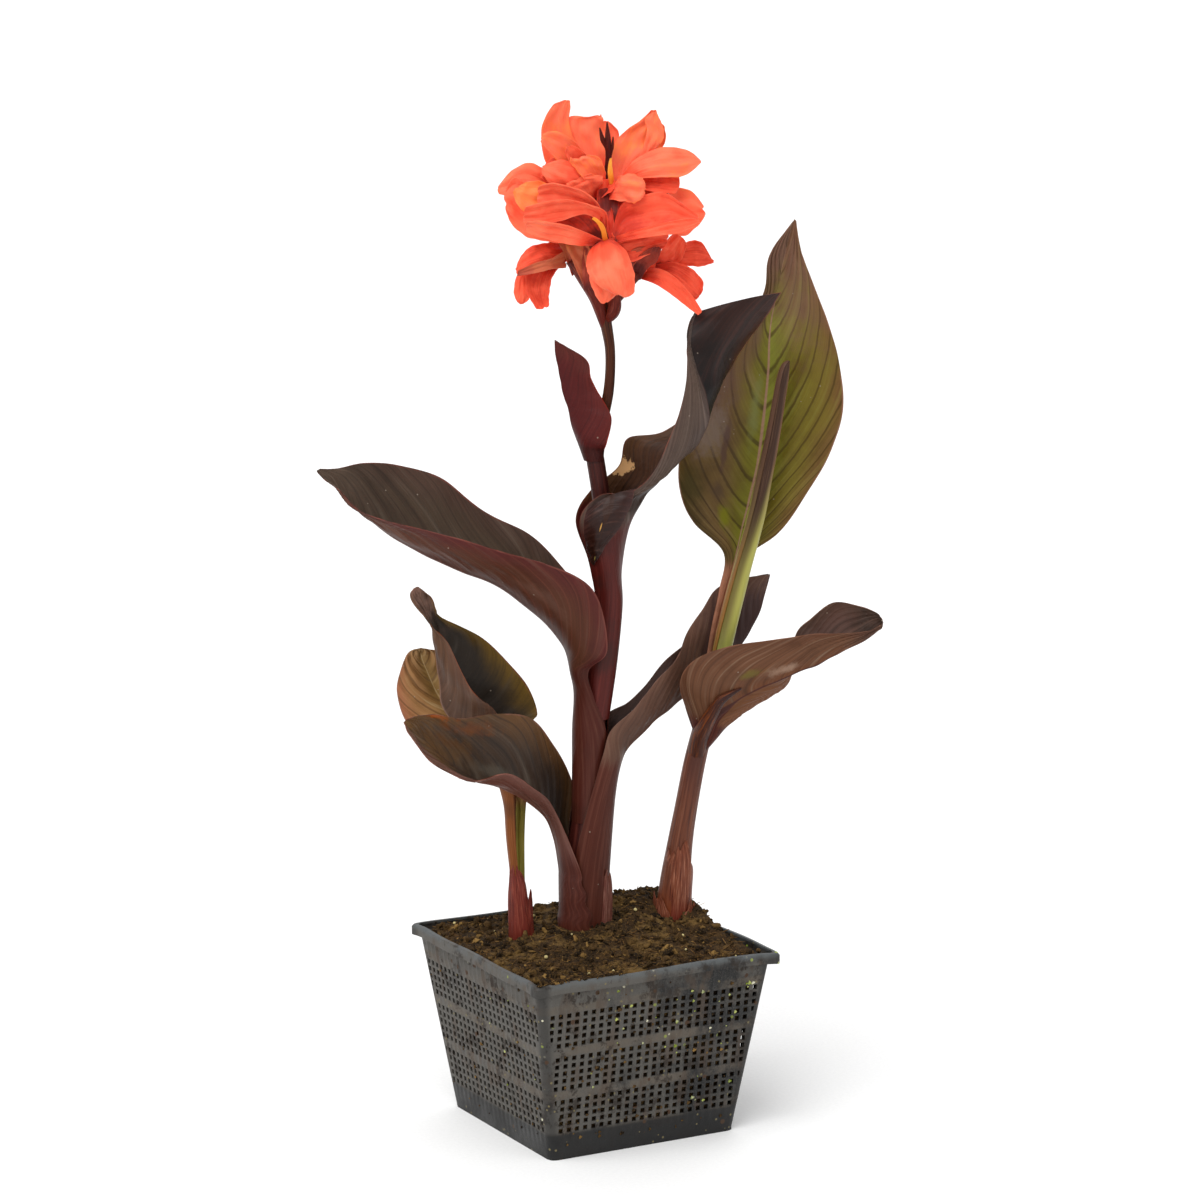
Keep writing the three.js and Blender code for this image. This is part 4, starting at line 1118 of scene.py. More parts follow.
BLOOM_HEAD_PETALS = (
    Petal(((590, 192, 598, 186, 29), (562, 180, 586, 172, 30), (545, 160, 580, 150, 32),
           (541, 138, 572, 135, 32), (544, 120, 569, 120, 31), (552, 106, 570, 109, 30),
           (560, 102, 570, 101, 29)), 0.78, 0.15),
    Petal(((592, 190, 602, 186, 29), (580, 168, 608, 162, 33), (570, 145, 609, 145, 35),
           (567, 130, 606, 130, 36), (568, 118, 603, 119, 36), (578, 118, 601, 114, 35)), 0.72, -0.12, 0,
           0.07),
    Petal(((596, 188, 606, 184, 30), (602, 160, 615, 158, 38), (603, 140, 619, 142, 41),
           (602, 127, 618, 131, 42), (604, 121, 611, 123, 42)), 0.74),
    Petal(((588, 190, 598, 182, 27), (580, 180, 592, 166, 23), (567, 169, 579, 146, 17),
           (554, 157, 564, 134, 13), (545, 147, 551, 131, 11), (541, 142, 544, 133, 11)), 0.76, 0.3, 3),
    Petal(((590, 190, 599, 184, 26), (583, 178, 599, 172, 19), (572, 166, 592, 160, 13),
           (566, 154, 581, 150, 11), (566, 148, 573, 145, 11)), 0.55, 0.5, 2, 0.1),
    Petal(((594, 198, 604, 190, 25), (588, 184, 606, 178, 15), (578, 172, 604, 167, 9),
           (571, 163, 598, 157, 7), (570, 158, 588, 154, 8)), 0.74, 0.34, 2, 0.09, 0.1),
    Petal(((592, 206, 604, 196, 24), (582, 200, 603, 184, 12), (570, 192, 601, 176, 6),
           (566, 184, 590, 174, 6)), 0.66, 0.3, 2, 0.1, 0.15),
    Petal(((590, 194, 600, 186, 26), (574, 188, 584, 164, 20), (555, 184, 560, 158, 15),
           (545, 181, 547, 162, 13), (541, 178, 543, 168, 13)), 0.36, 0.1, 4, 0.08),
    Petal(((567, 224, 574, 212, 25), (550, 210, 556, 178, 19), (535, 198, 541, 167, 14),
           (520, 194, 527, 163, 11), (507, 196, 512, 171, 10), (499, 194, 502, 182, 10)), 0.68, -0.2, 3),
    Petal(((597, 246, 603, 236, 0), (575, 243, 570, 214, -1), (550, 242, 545, 200, -1),
           (530, 238, 527, 184, 0), (514, 227, 514, 178, 2), (506, 212, 507, 190, 4)), 0.64, 0.25, 4, 0.06),
    Petal(((560, 214, 566, 204, -3), (545, 216, 550, 186, -7), (528, 214, 538, 181, -8),
           (517, 204, 527, 182, -6), (513, 192, 521, 185, -4)), 0.95, 0.1, 0, 0.05),
    Petal(((584, 190, 590, 178, 16), (572, 190, 578, 166, 11), (556, 188, 562, 160, 9),
           (545, 178, 550, 163, 10), (541, 170, 544, 166, 11)), 0.62, -0.3, 2, 0.06),
    Petal(((596, 238, 606, 230, -3), (590, 216, 598, 203, -12), (570, 206, 577, 189, -17),
           (550, 204, 554, 183, -16), (538, 203, 539, 186, -12)), 0.64, 0.35, -3),
    Petal(((602, 236, 607, 228, -4), (598, 222, 606, 212, -12), (584, 214, 590, 205, -18),
           (562, 221, 566, 199, -21), (542, 224, 544, 202, -20), (524, 223, 526, 207, -16)), 0.6, 0.25, -2,
           0.06),
    Petal(((597, 246, 603, 240, -5), (580, 246, 580, 230, -22), (560, 242, 559, 223, -26),
           (541, 238, 540, 221, -24), (527, 232, 527, 222, -21)), 0.66, 0.2, -3, 0.07),
    # The next three petals have the lowest tones: dark sheets set in the throat of the bloom as painted
    # shade.
    Petal(((596, 246, 609, 239, -6), (572, 242, 603, 220, -10), (560, 234, 594, 208, -11),
           (556, 226, 576, 206, -12)), 0.16, 0.2),
    Petal(((596, 246, 617, 242, 0), (600, 226, 618, 226, 6), (598, 206, 619, 208, 11),
           (598, 190, 622, 194, 14)), 0.1, 0.1),
    Petal(((592, 198, 604, 192, 24), (596, 214, 612, 210, 10), (600, 228, 614, 226, 4),
           (602, 238, 612, 237, 1)), 0.2, 0.1),
    Petal(((615, 244, 612, 232, -2), (628, 238, 621, 205, 1), (648, 236, 642, 195, -3),
           (670, 232, 665, 193, -7), (687, 227, 684, 205, -8), (699, 221, 697, 216, -7)), 0.4, 0.3, 4,
           0.05),
    Petal(((616, 243, 616, 236, -3), (640, 238, 640, 229, -11), (664, 235, 662, 223, -16),
           (684, 232, 684, 219, -16), (700, 223, 698, 219, -12)), 0.55, 0.4, 2, 0.05),
    Petal(((618, 244, 616, 232, 2), (642, 236, 634, 212, 8), (664, 230, 662, 200, 12),
           (684, 236, 676, 188, 14), (697, 226, 692, 192, 13), (704, 217, 702, 203, 12)), 0.7, 0.2, 3),
    Petal(((606, 240, 620, 258, 1), (626, 236, 632, 262, -1), (650, 235, 650, 254, -3),
           (668, 233, 664, 248, -3)), 0.44, 0.2),
    Petal(((614, 192, 626, 188, 23), (611, 168, 642, 164, 27), (613, 148, 664, 144, 30),
           (624, 132, 665, 129, 31), (641, 120, 660, 121, 31), (651, 110, 656, 110, 30)), 0.8, 0.12, 0,
           0.05, 0.0),
    Petal(((632, 170, 640, 162, 26), (642, 150, 658, 146, 26), (647, 132, 664, 136, 27),
           (645, 120, 661, 122, 28), (652, 112, 656, 112, 29)), 0.78, -0.1, 0, 0.08, 0.0),
    Petal(((618, 194, 616, 184, 22), (638, 180, 634, 160, 15), (660, 177, 658, 148, 11),
           (678, 177, 677, 148, 10), (692, 171, 691, 152, 10), (701, 163, 700, 160, 11)), 0.74, -0.1, 3,
           0.05, 0.1),
    Petal(((620, 196, 620, 184, 21), (640, 190, 642, 176, 17), (656, 192, 662, 173, 14),
           (674, 194, 679, 177, 13)), 0.42, 0.3, 3),
    Petal(((612, 214, 610, 188, 20), (638, 220, 634, 184, 19), (668, 210, 662, 182, 17)), 0.34, 0.2),
    Petal(((606, 200, 614, 182, 20), (616, 200, 619, 176, 6), (630, 203, 631, 174, 0),
           (640, 200, 642, 178, -2), (645, 194, 645, 186, -1)), 0.74, -0.08, 0, 0.13, 0.12),
    Petal(((594, 206, 606, 186, 22), (603, 196, 612, 180, 12), (610, 192, 618, 182, 8)), 0.42, 0.2),
    Petal(((598, 243, 611, 238, -4), (589, 252, 625, 250, -18), (586, 265, 632, 266, -28),
           (590, 276, 635, 281, -34), (600, 287, 634, 292, -36), (612, 293, 630, 296, -36)), 0.6, -0.3, 0,
           0.05),
    Petal(((600, 246, 610, 244, -3), (590, 262, 614, 262, -12), (590, 280, 617, 282, -22),
           (595, 294, 617, 293, -26), (601, 303, 609, 301, -26)), 0.62, -0.3),
)
BLOOM_LOW_RIGHT_TUBES = (((32.6, 12, 600.6, 2.6), (38, 13, 604, 3.4), (43, 13, 604, 4)),)
BLOOM_LOW_RIGHT_PETALS = (
    Petal(((652, 274, 650, 264, 13), (668, 269, 660, 252, 15), (681, 260, 667, 240, 16),
           (687, 245, 675, 233, 17)), 0.5, 0.2),
    Petal(((656, 272, 656, 262, 14), (674, 266, 676, 248, 19), (690, 266, 690, 241, 20),
           (704, 266, 701, 242, 20), (714, 262, 709, 257, 20)), 0.4, -0.15, 2, 0.07),
    Petal(((650, 274, 654, 265, 13), (668, 277, 674, 262, 10), (684, 290, 692, 269, 10),
           (694, 299, 702, 280, 13), (697, 299, 703, 290, 14)), 0.42, 0.25, 0, 0.06),
    Petal(((638, 278, 642, 269, 12), (655, 284, 661, 269, 4), (672, 295, 678, 280, 0),
           (686, 306, 691, 294, 0), (698, 315, 702, 311, 1)), 0.48, 0.3, 0, 0.05),
)
BLOOM_LOW_LEFT_TUBES = (((-15.6, 7.6, 609.4, 2), (-19, 9, 612, 2.8), (-23, 11, 612, 3.6)),)
BLOOM_LOW_LEFT_PETALS = (
    Petal(((566, 262, 562, 248, 8), (552, 264, 549, 243, 3), (538, 269, 533, 246, 0),
           (526, 272, 522, 254, -1), (518, 275, 517, 266, 0)), 0.46, -0.2, 2, 0.07),
    Petal(((556, 258, 562, 266, 9), (530, 270, 556, 271, 8), (525, 286, 550, 286, 5),
           (530, 299, 549, 299, 4), (537, 309, 549, 306, 4)), 0.36, 0.3, 0, 0.1),
    Petal(((548, 258, 552, 268, 11), (520, 272, 532, 276, 13), (514, 289, 530, 290, 12),
           (516, 300, 529, 299, 12), (520, 304, 524, 303, 12)), 0.5, -0.2, 0, 0.06),
    Petal(((568, 256, 560, 236, 12), (556, 252, 552, 240, 12), (545, 262, 538, 250, 12)), 0.34, 0.2),
)
SEPAL_PETALS = (
    Petal(((572, 276, 584, 272, 8), (566, 258, 580, 258, 4), (560, 246, 574, 244, 2),
           (556, 240, 563, 239, 3)), 0.66, 0.4),
    Petal(((583, 284, 590, 282, 4), (573, 262, 592, 262, -2), (566, 246, 588, 244, -4),
           (566, 240, 580, 238, -3)), 0.78, 0.4),
    Petal(((584, 290, 592, 288, 4), (582, 266, 594, 268, 0), (584, 246, 600, 246, -2)), 0.36, 0.2),
    Petal(((517, 276, 518, 271, -3), (536, 273, 533, 264, -6), (552, 269, 552, 258, -5),
           (566, 268, 566, 250, 4)), 0.6, 0.3),
    Petal(((640, 280, 631, 270, 10), (647, 269, 633, 262, 2), (657, 261, 645, 251, -4),
           (661, 249, 654, 247, -6)), 0.2, 0.35),
    Petal(((632, 270, 630, 260, 4), (636, 262, 632, 250, 0), (648, 253, 646, 246, -2)), 0.45, 0.3),
)
STAMEN_PETALS = (
    Petal(((603, 243, 608, 241, -6), (601, 231, 605, 228, -15), (597, 223, 600, 221, -20),
           (592, 219, 594, 217, -21)), 0.5, -0.5, 0, 0),
    Petal(((609.6, 184, 614.4, 183, 12), (608, 174, 613, 174, 9), (608.4, 166, 612, 166, 8),
           (609.6, 159, 611.4, 158, 8)), 0.5, -0.5, 0, 0),
)
HUSKS_RIGHT = (
    Husk((57, 44, 112), (62, 44, 184), 12, 10.2, 262, 105, 0.22),
    Husk((53.5, 44, 116), (55, 44, 152), 12.4, 11.4, 215, 60, 0.25),
    Husk((60, 44, 112), (62, 44, 146), 11.6, 11.2, 318, 50, 0.25),
)
HUSKS_LEFT = (
    Husk((-50.5, 3.4, 116), (-53.6, 2.2, 188), 8.4, 6, 250, 100, 0.22),
    Husk((-48.5, 4, 116), (-49.6, 4.6, 160), 7.8, 6.2, 322, 62, 0.25),
)
HUSKS_MAIN = (
    Husk((4, 16, 118), (6.5, 15, 176), 9.4, 7.4, 290, 70, 0.12),
)

# ---------------------------------------------------------------------------------------------
# The basket.


@dataclass
class Basket:
    """The square perforated basket: sizes in millimetres."""

    rim: float = 190.0
    base: float = 146.0
    height: float = 133.0
    lip: float = 3.4
    lip_drop: float = 8.0
    wall: float = 1.7
    corner: float = 6.0
    pitch_x: float = 6.4
    pitch_z: float = 5.4
    hole_x: float = 3.3
    hole_z: float = 3.5
    rows: int = 5
    band_feet: tuple = (19.0, 51.0, 83.0)
    rib: float = 0.45
    rib_foot: float = 8.0
    rib_wide: float = 112.0
    rib_top: float = 124.0
    flare: float = 2.8
    lip_rows: tuple = ((0.0, 125.6), (0.0, 131.4), (0.7, 132.7), (1.9, 133.0), (3.1, 132.9))
    corner_steps: int = 5
    corner_closed: float = 5.5
    drains: tuple = (-48, -24, 24, 48)
    drain_half: float = 5.0
    floor: float = 2.4
    slot: str = "basket"

    def half(self, z: float) -> float:
        """Half the outer width of the wall at height z."""
        slope = (self.rim / 2 - self.lip - self.base / 2) / (self.height - self.lip_drop)
        return self.base / 2 + slope * z

    def levels(self) -> list:
        """The heights of the wall's rows as (z, row of holes begins here)."""
        out = [(0.0, False), (2.0, False), (8.0, False)]
        for foot in self.band_feet:
            for row in range(self.rows):
                z = foot + row * self.pitch_z + (self.pitch_z - self.hole_z) / 2
                out += [(z, True), (z + self.hole_z, False)]
        under = self.height - self.lip_drop
        return out + [(114.0, False), (under - 3, False), (under, False)]

    def side_lines(self) -> list:
        """The upright lines of one side as (x, stands out, hole begins here)."""
        columns = int((self.half(self.height - self.lip_drop) - self.corner) // self.pitch_x) * 2
        lines = []
        for k in range(columns + 1):
            x = (k - columns / 2) * self.pitch_x
            lines.append((x, True, False))
            if k < columns:
                gap = (self.pitch_x - self.hole_x) / 2
                lines += [(x + gap, False, True), (x + gap + self.hole_x, False, False)]
        return lines

    def wall_mesh(self) -> Piece:
        """The four pierced walls with the lip, as one closed shell."""
        levels, lines = self.levels(), self.side_lines()
        ring_rows, cells = [], []
        for z, _ in levels:
            half = self.half(z)
            flat = half - self.corner
            ring = []
            for side in range(4):
                turn = side * math.pi / 2
                for x, proud, _ in lines:
                    kept = min(max(x, -flat), flat)
                    ribbed = proud and abs(x) < flat - 2 and self.rib_foot < z < self.rib_top
                    rib = self.rib * (2.2 if z > self.rib_wide else 1.0)
                    ring.append(self.turned(kept, -(half + (rib if ribbed else 0.0)), turn, z))
                for step in range(1, self.corner_steps):
                    a = -math.pi / 2 + step / self.corner_steps * math.pi / 2
                    x, y = flat + self.corner * math.cos(a), -flat + self.corner * math.sin(a)
                    ring.append(self.turned(x, y, turn, z))
            ring.append(ring[0])
            ring_rows.append(ring)
        per_side = len(lines) + self.corner_steps - 1
        for r, (z, starts) in enumerate(levels):
            for side in range(4):
                for k, (x, _, begins) in enumerate(lines):
                    if starts and begins and abs(x + self.hole_x / 2) + self.corner_closed < self.half(z):
                        cells.append((side * per_side + k, r))
        top = len(levels)
        for reach, z in self.lip_rows:
            scale = (self.rim / 2 - reach) / self.half(125)
            ring_rows.append([self.lip_point(x * scale, y * scale, z) for x, y, _ in ring_rows[top - 1]])
        points = np.array(ring_rows) * MM
        obj = grid_object("basket_wall", points)
        rows, columns = points.shape[0] - 1, points.shape[1] - 1
        holes = np.zeros((columns, rows), bool)
        for column, row in cells:
            holes[column, row] = True
        delete_faces(obj, lambda m: holes[(m[:, 0] * columns).astype(int), (m[:, 1] * rows).astype(int)])
        edit(obj, weld(3e-5))
        modify(obj, "SOLIDIFY", thickness=self.wall * MM, offset=-1.0, use_even_offset=False)
        shade(obj, 35)
        return obj

    def lip_point(self, x: float, y: float, z: float) -> tuple:
        """A point of the lip, drawn out at the corners and a little wavy."""
        corner = max(0.0, min(abs(x), abs(y)) / (self.rim / 2) - 0.8) / 0.2
        reach = 1 + self.flare / (self.rim / 2) * corner**2 + 0.004 * math.sin(x / 17 + y / 23)
        return (x * reach, y * reach, z - 1.2 * corner**2 + 0.5 * math.sin(x / 21 - y / 15) - 0.5)

    @staticmethod
    def turned(x: float, y: float, angle: float, z: float) -> tuple:
        """A point turned about the basket's middle line."""
        c, s = math.cos(angle), math.sin(angle)
        return (x * c - y * s, x * s + y * c, z)

    def floor_mesh(self) -> Piece:
        """The floor with its drain holes."""
        inner = self.base / 2 - 1.2
        lines = [-inner, -inner + 6]
        for middle in self.drains:
            lines += [middle - self.drain_half, middle + self.drain_half]
        lines += [inner - 6, inner]
        lines.sort()
        place = np.array(lines)
        x, y = np.meshgrid(place, place)
        points = np.stack([x, y, np.full_like(x, self.floor)], axis=-1) * MM
        obj = grid_object("basket_floor", points)
        cells = len(lines) - 1
        middles = (place[1:] + place[:-1]) / 2
        drains = {k for k in range(cells) if any(abs(middles[k] - m) < 1 for m in self.drains)}
        mask = np.array([[i in drains and j in drains for j in range(cells)] for i in range(cells)])
        delete_faces(obj, lambda m: mask[(m[:, 0] * cells).astype(int), (m[:, 1] * cells).astype(int)])
        modify(obj, "SOLIDIFY", thickness=self.floor * MM, offset=-1.0)
        sharp = math.radians(40)
        modify(obj, "BEVEL", width=0.4 * MM, segments=2, limit_method="ANGLE", angle_limit=sharp)
        shade(obj, 40)
        return obj

    def material(self) -> Skin:
        """Black plastic, dusty and a little stained, with a cleaner glossier foot and a painted highlight
        along the top of the lip.
        """
        p = Palette("basket_plastic")
        place = p.place()
        x, y, height = p.parts(place)
        dust = p.clouds(place, 38.0, 6.0, 0.65)
        grain = p.clouds(place, 900.0, 3.0)
        drawn = p.put("Mapping", {"Vector": place, "Scale": (1.0, 1.0, 0.35)}).outputs[0]
        stain = p.clouds(drawn, 90.0, 4.0)
        # The wall is paler towards its -x side, the left as the camera sees it.
        paler_to_minus_x = p.ease(x, 0.05, -0.08, 0.24)
        colour = p.tint("#0f0f0f", "#4e4b46", p.plus(dust, paler_to_minus_x), 0.4, 0.7)
        colour = p.tint(colour, "#5c5954", grain, 0.45, 0.75, 0.35)
        band = p.math("COSINE", p.scaled(height, 2 * math.pi / 0.032, -2 * math.pi * 48.6 / 32))
        smear = p.times(p.ease(band, 0.72, 0.95, 0.6), p.ease(dust, 0.36, 0.6))
        colour = p.mix(smear, colour, "#5a5044")
        colour = p.tint(colour, "#46372a", stain, 0.52, 0.64, 0.55)
        soiled = p.clouds(place, 60.0, 6.0, 0.75)
        colour = p.tint(colour, "#20160c", soiled, 0.53, 0.62, 0.85)
        sides = [p.math("ABSOLUTE", s) for s in (x, y)]
        bend = p.math("SUBTRACT", p.math("MINIMUM", *sides), p.scaled(height, 0.149, 0.073))
        colour = p.tint(colour, "#191817", bend, -0.009, -0.003, 0.6)
        foot = p.ease(height, 0.0215, 0.0175)
        colour = p.mix(p.scaled(foot, 0.92), colour, "#080809")
        # Painted highlight: a paler bluish grey along the top of the lip, patchy where the dust noise is
        # high.
        lip = p.times(p.ease(height, 0.127, 0.1325), p.ease(dust, 0.42, 0.55, 0.7))
        colour = p.mix(lip, colour, "#565b5d")
        spread = p.plus(p.clouds(place, 16.0, 2.0), p.ease(x, 0.0, 0.07, 0.1))
        swarm = p.times(p.ease(spread, 0.54, 0.66), p.ease(height, 0.06, 0.1))
        for scale, near, code, thick in (
            (190.0, 0.2, "#9aa83c", swarm),
            (230.0, 0.17, "#d0ccb0", swarm),
            (110.0, 0.18, "#3c2612", 1.0),
            (260.0, 0.2, "#6e6444", 0.8),
        ):
            spots = p.flecks(scale, near * 1.3, near, 1.0, 0.88)
            colour = p.mix(p.times(spots, thick), colour, code)
        rough = p.ease(dust, 0.2, 0.8)
        rough = p.math("SUBTRACT", p.scaled(rough, 0.3, 0.46), p.scaled(foot, 0.14))
        return p.finish(colour, rough, grain, 0.0002, Specular_IOR_Level=0.34)

    def build(self) -> None:
        """Builds and dresses the basket."""
        material = self.material()
        dress(self.wall_mesh(), [material], ("basket",))
        dress(self.floor_mesh(), [material])


# ---------------------------------------------------------------------------------------------
# The soil.


@dataclass
class Soil:
    """The peat that fills the basket, with its clods, fibres and granules."""

    basket: Basket
    sides: int = 260
    clods: int = 2400
    fibres: int = 650
    granules: int = 18
    spilt: int = 90
    litter: int = 60
    dirt: int = 150
    slot: str = "peat"

    @staticmethod
    def height(x: float, y: float) -> float:
        """The height of the heap over a row-frame place, in millimetres."""
        c, s = math.cos(-PLANT_TURN), math.sin(-PLANT_TURN)
        px, py = x * c - y * s, x * s + y * c
        heap = mound(px - 36, py - 58, 18, 3000, 1700)
        hollow = mound(px - 58, py - 33, 8, 240, 140)
        crown = mound(px - 2, py - 10, 9, 3800, 3800)
        spill = mound(x - 84, y + 2, 6, 120, 700)
        rim = 2.2 * smooth(np.array(max(abs(x), abs(y))), 62, 84)
        return SOIL_LEVEL + heap + crown + spill - hollow + float(rim)

    def rough_height(self, x: float, y: float) -> float:
        """The height with its lumps."""
        at = Vector((x, y, 0.0))
        lumps = 2.2 * noise.noise(at / 19) + 1.5 * noise.noise(at / 7 + Vector((9, 0, 0)))
        return self.height(x, y) + lumps + 0.8 * noise.noise(at / 2.6)

    def bed(self) -> Piece:
        """The soil's body, from the floor to the lumpy top."""
        basket = self.basket
        angles = np.linspace(0, 2 * math.pi, self.sides + 1)
        square = np.stack([np.cos(angles), np.sin(angles)], axis=-1)
        square /= np.power(np.sum(np.abs(square) ** 14, axis=-1, keepdims=True), 1 / 14)
        rows = []
        for z in np.linspace(3.2, 121, 26):
            half = basket.half(z) - basket.wall - 0.9
            rows.append([self.side_point(x, y, half, z) for x, y in square])
        top = basket.half(122) - basket.wall - 0.8
        for share in np.linspace(1, 0, 58) ** 0.8:
            sunk = 3.0 * max(0.0, share - 0.97) / 0.03
            rows.append([(x, y, self.rough_height(x, y) - sunk) for x, y in square * top * share])
        points = np.array(rows) * MM
        points[:, -1] = points[:, 0]
        obj = grid_object("soil_bed", points)
        edit(obj, weld(4e-5), fill_ends, face_out)
        shade(obj)
        return obj

    @staticmethod
    def side_point(x: float, y: float, half: float, z: float) -> tuple:
        """A point on the crumbly side of the root ball."""
        dent = 0.9 * (0.5 + noise.noise(Vector((x * half, y * half, z)) / 4.5))
        return (x * (half - dent), y * (half - dent), z)

    def on_top(self, k: int, salt: int) -> tuple:
        """A fixed random place on the soil, in millimetres."""
        limit = self.basket.half(124) - 4.5
        x = (chance(k, salt) * 2 - 1) * limit
        y = (chance(k, salt + 1) * 2 - 1) * limit
        return x, y, self.rough_height(x, y)

    @staticmethod
    def tumble(k: int, salt: int, sizes: tuple) -> np.ndarray:
        """A fixed random turn with a scale along each axis, as a 3 by 3 array."""
        a, b, c = (2 * math.pi * chance(k, salt + i) for i in range(3))
        return axis_turn(2, a) @ axis_turn(0, b) @ axis_turn(1, c) @ np.diag(sizes)

    def pebble(self, name: str, lumps: float) -> Piece:
        """One small rough ball, a millimetre in radius, to copy."""
        deselect()
        bpy.ops.mesh.primitive_ico_sphere_add(subdivisions=2, radius=MM)
        obj = bpy.context.object
        obj.name = name
        co = co_of(obj)
        scale = [1 + lumps * noise.noise(Vector(c) * 1400 + Vector((3, 1, 4))) for c in co]
        set_co(obj, co * np.array(scale)[:, None])
        return obj

    def clod_mesh(self) -> Piece:
        """Clods scattered over the top, most of them small."""
        places = []
        edge = self.basket.rim / 2
        for k in range(self.clods):
            x, y, z = self.on_top(k, 11)
            size = 0.55 + 2.4 * chance(k, 17) ** 5
            if k < self.spilt:
                x, y = -edge + 2 + 66 * chance(k, 18) ** 1.4, -edge + 0.6 + 5 * chance(k, 19)
                z, size = self.basket.height - 0.2, min(size, 1.0)
            sizes = tuple(size * (0.35 + 1.1 * chance(k, 20 + i)) for i in range(3))
            places.append((np.array([x, y, z + size * 0.25]) * MM, self.tumble(k, 31, sizes), chance(k, 41)))
        return scattered("soil_clods", self.pebble("clod", 1.5), places)

    def granule_mesh(self) -> Piece:
        """Pale granules of feed among the clods."""
        places = []
        for k in range(self.granules):
            x, y, z = self.on_top(k, 53)
            size = 0.6 + 0.8 * chance(k, 57)
            at = np.array([x, y, z + size * 0.9]) * MM
            places.append((at, self.tumble(k, 59, (size, size, size)), chance(k, 61)))
        return scattered("soil_granules", self.pebble("granule", 0.2), places)

    def wall_mesh(self, name: str, count: int, salt: int, high: float) -> Piece:
        """Flat bits that cling to the outside of the walls, most of them on the first.

        Args:
            name: the piece's name.
            count: how many.
            salt: sets these bits apart from others.
            high: above 1 they gather low on the wall, under 1 high.

        Returns:
            The piece.
        """
        places = []
        for k in range(count):
            side = 0 if chance(k, salt) < 0.6 else 3 - int(3 * chance(k, salt + 1) ** 2)
            z = 10 + 113 * chance(k, salt + 2) ** high
            out = self.basket.half(z) + 0.35
            across = (chance(k, salt + 3) ** min(high, 1.0) * 2 - 1) * (out - 8)
            turn, size = side * math.pi / 2, 0.4 + 0.9 * chance(k, salt + 4) ** 2
            sizes = (size * (0.7 + 0.6 * chance(k, salt + 5)), 0.4, size)
            at = np.array(Basket.turned(across, -out, turn, z)) * MM
            places.append((at, axis_turn(2, turn) @ np.diag(sizes), chance(k, salt + 6)))
        return scattered(name, self.pebble("bit", 1.0), places)

    def fibre_mesh(self) -> Piece:
        """Straw-like fibres lying on the soil."""
        deselect()
        bpy.ops.mesh.primitive_cylinder_add(vertices=5, radius=MM, depth=2 * MM)
        model = bpy.context.object
        edit(model, lambda: bpy.ops.mesh.subdivide(number_cuts=1))
        co = co_of(model)
        co[:, 2] += 0.25 * co[:, 0] * np.sign(co[:, 0])
        set_co(model, co)
        places = []
        for k in range(self.fibres):
            x, y, z = self.on_top(k, 71)
            long, thick = 1.4 + 4.2 * chance(k, 73) ** 2, 0.12 + 0.18 * chance(k, 74)
            a, tilt = 2 * math.pi * chance(k, 75), 0.9 * (chance(k, 76) - 0.35)
            lie = np.array([math.cos(a) * math.cos(tilt), math.sin(a) * math.cos(tilt), math.sin(tilt)])
            flat = np.array([-math.sin(a), math.cos(a), 0.0])
            turn = np.stack([flat * thick, np.cross(lie, flat) * thick, lie * long], axis=-1)
            places.append((np.array([x, y, z + 0.6]) * MM, turn, chance(k, 77)))
        return scattered("soil_fibres", model, places)

    @staticmethod
    def soil_material() -> Skin:
        """Near-black brown peat with golden crumbs."""
        p = Palette("peat_soil")
        place = p.place()
        coarse = p.clouds(place, 120.0, 6.0, 0.7)
        crumbs = p.clouds(place, 620.0, 5.0, 0.7)
        colour = p.tints(
            "#21170c",
            ("#46331c", coarse, 0.35, 0.65),
            ("#77582e", crumbs, 0.54, 0.7, 0.8),
            ("#150e07", crumbs, 0.46, 0.3),
            ("#806438", p.clouds(place, 48.0, 6.0, 0.7), 0.5, 0.64, 0.6),
        )
        return p.finish(colour, 0.95, crumbs, 0.0016, Specular_IOR_Level=0.15)

    @staticmethod
    def crumb_material(name: str, dark: str, light: str, gold: str) -> Skin:
        """Loose crumbs or fibres in three shades, chosen by each copy's tone."""
        p = Palette(name)
        grain = p.clouds(p.place(), 900.0, 4.0)
        colour = p.tints(
            dark,
            (light, p.tone(), 0.1, 0.75),
            (gold, p.tone(), 0.88, 0.96),
            (gold, grain, 0.5, 0.75, 0.5),
            (gold, p.clouds(p.place(), 48.0, 6.0, 0.7), 0.5, 0.64, 0.5),
        )
        return p.finish(colour, 0.92, grain, 0.0008, Specular_IOR_Level=0.15)

    def build(self) -> None:
        """Builds and dresses the soil."""
        clod = self.crumb_material("peat_clods", "#1c1309", "#45321a", "#846638")
        straw = self.crumb_material("peat_fibres", "#32200f", "#6a4c28", "#987444")
        grain = self.crumb_material("peat_granules", "#8a7a50", "#c8b880", "#d8cca0")
        dress(self.bed(), [self.soil_material()], ("peat",))
        weed = self.crumb_material("wall_weed", "#76842c", "#aab060", "#cfccb4")
        litter = self.wall_mesh("wall_litter", self.litter, 91, 0.5)
        dirt = self.wall_mesh("wall_dirt", self.dirt, 101, 1.3)
        for obj, material in (
            (self.clod_mesh(), clod),
            (self.fibre_mesh(), straw),
            (self.granule_mesh(), grain),
            (litter, weed),
            (dirt, clod),
        ):
            shade(obj)
            dress(obj, [material])


# ---------------------------------------------------------------------------------------------
# Stems and the rolled leaf.


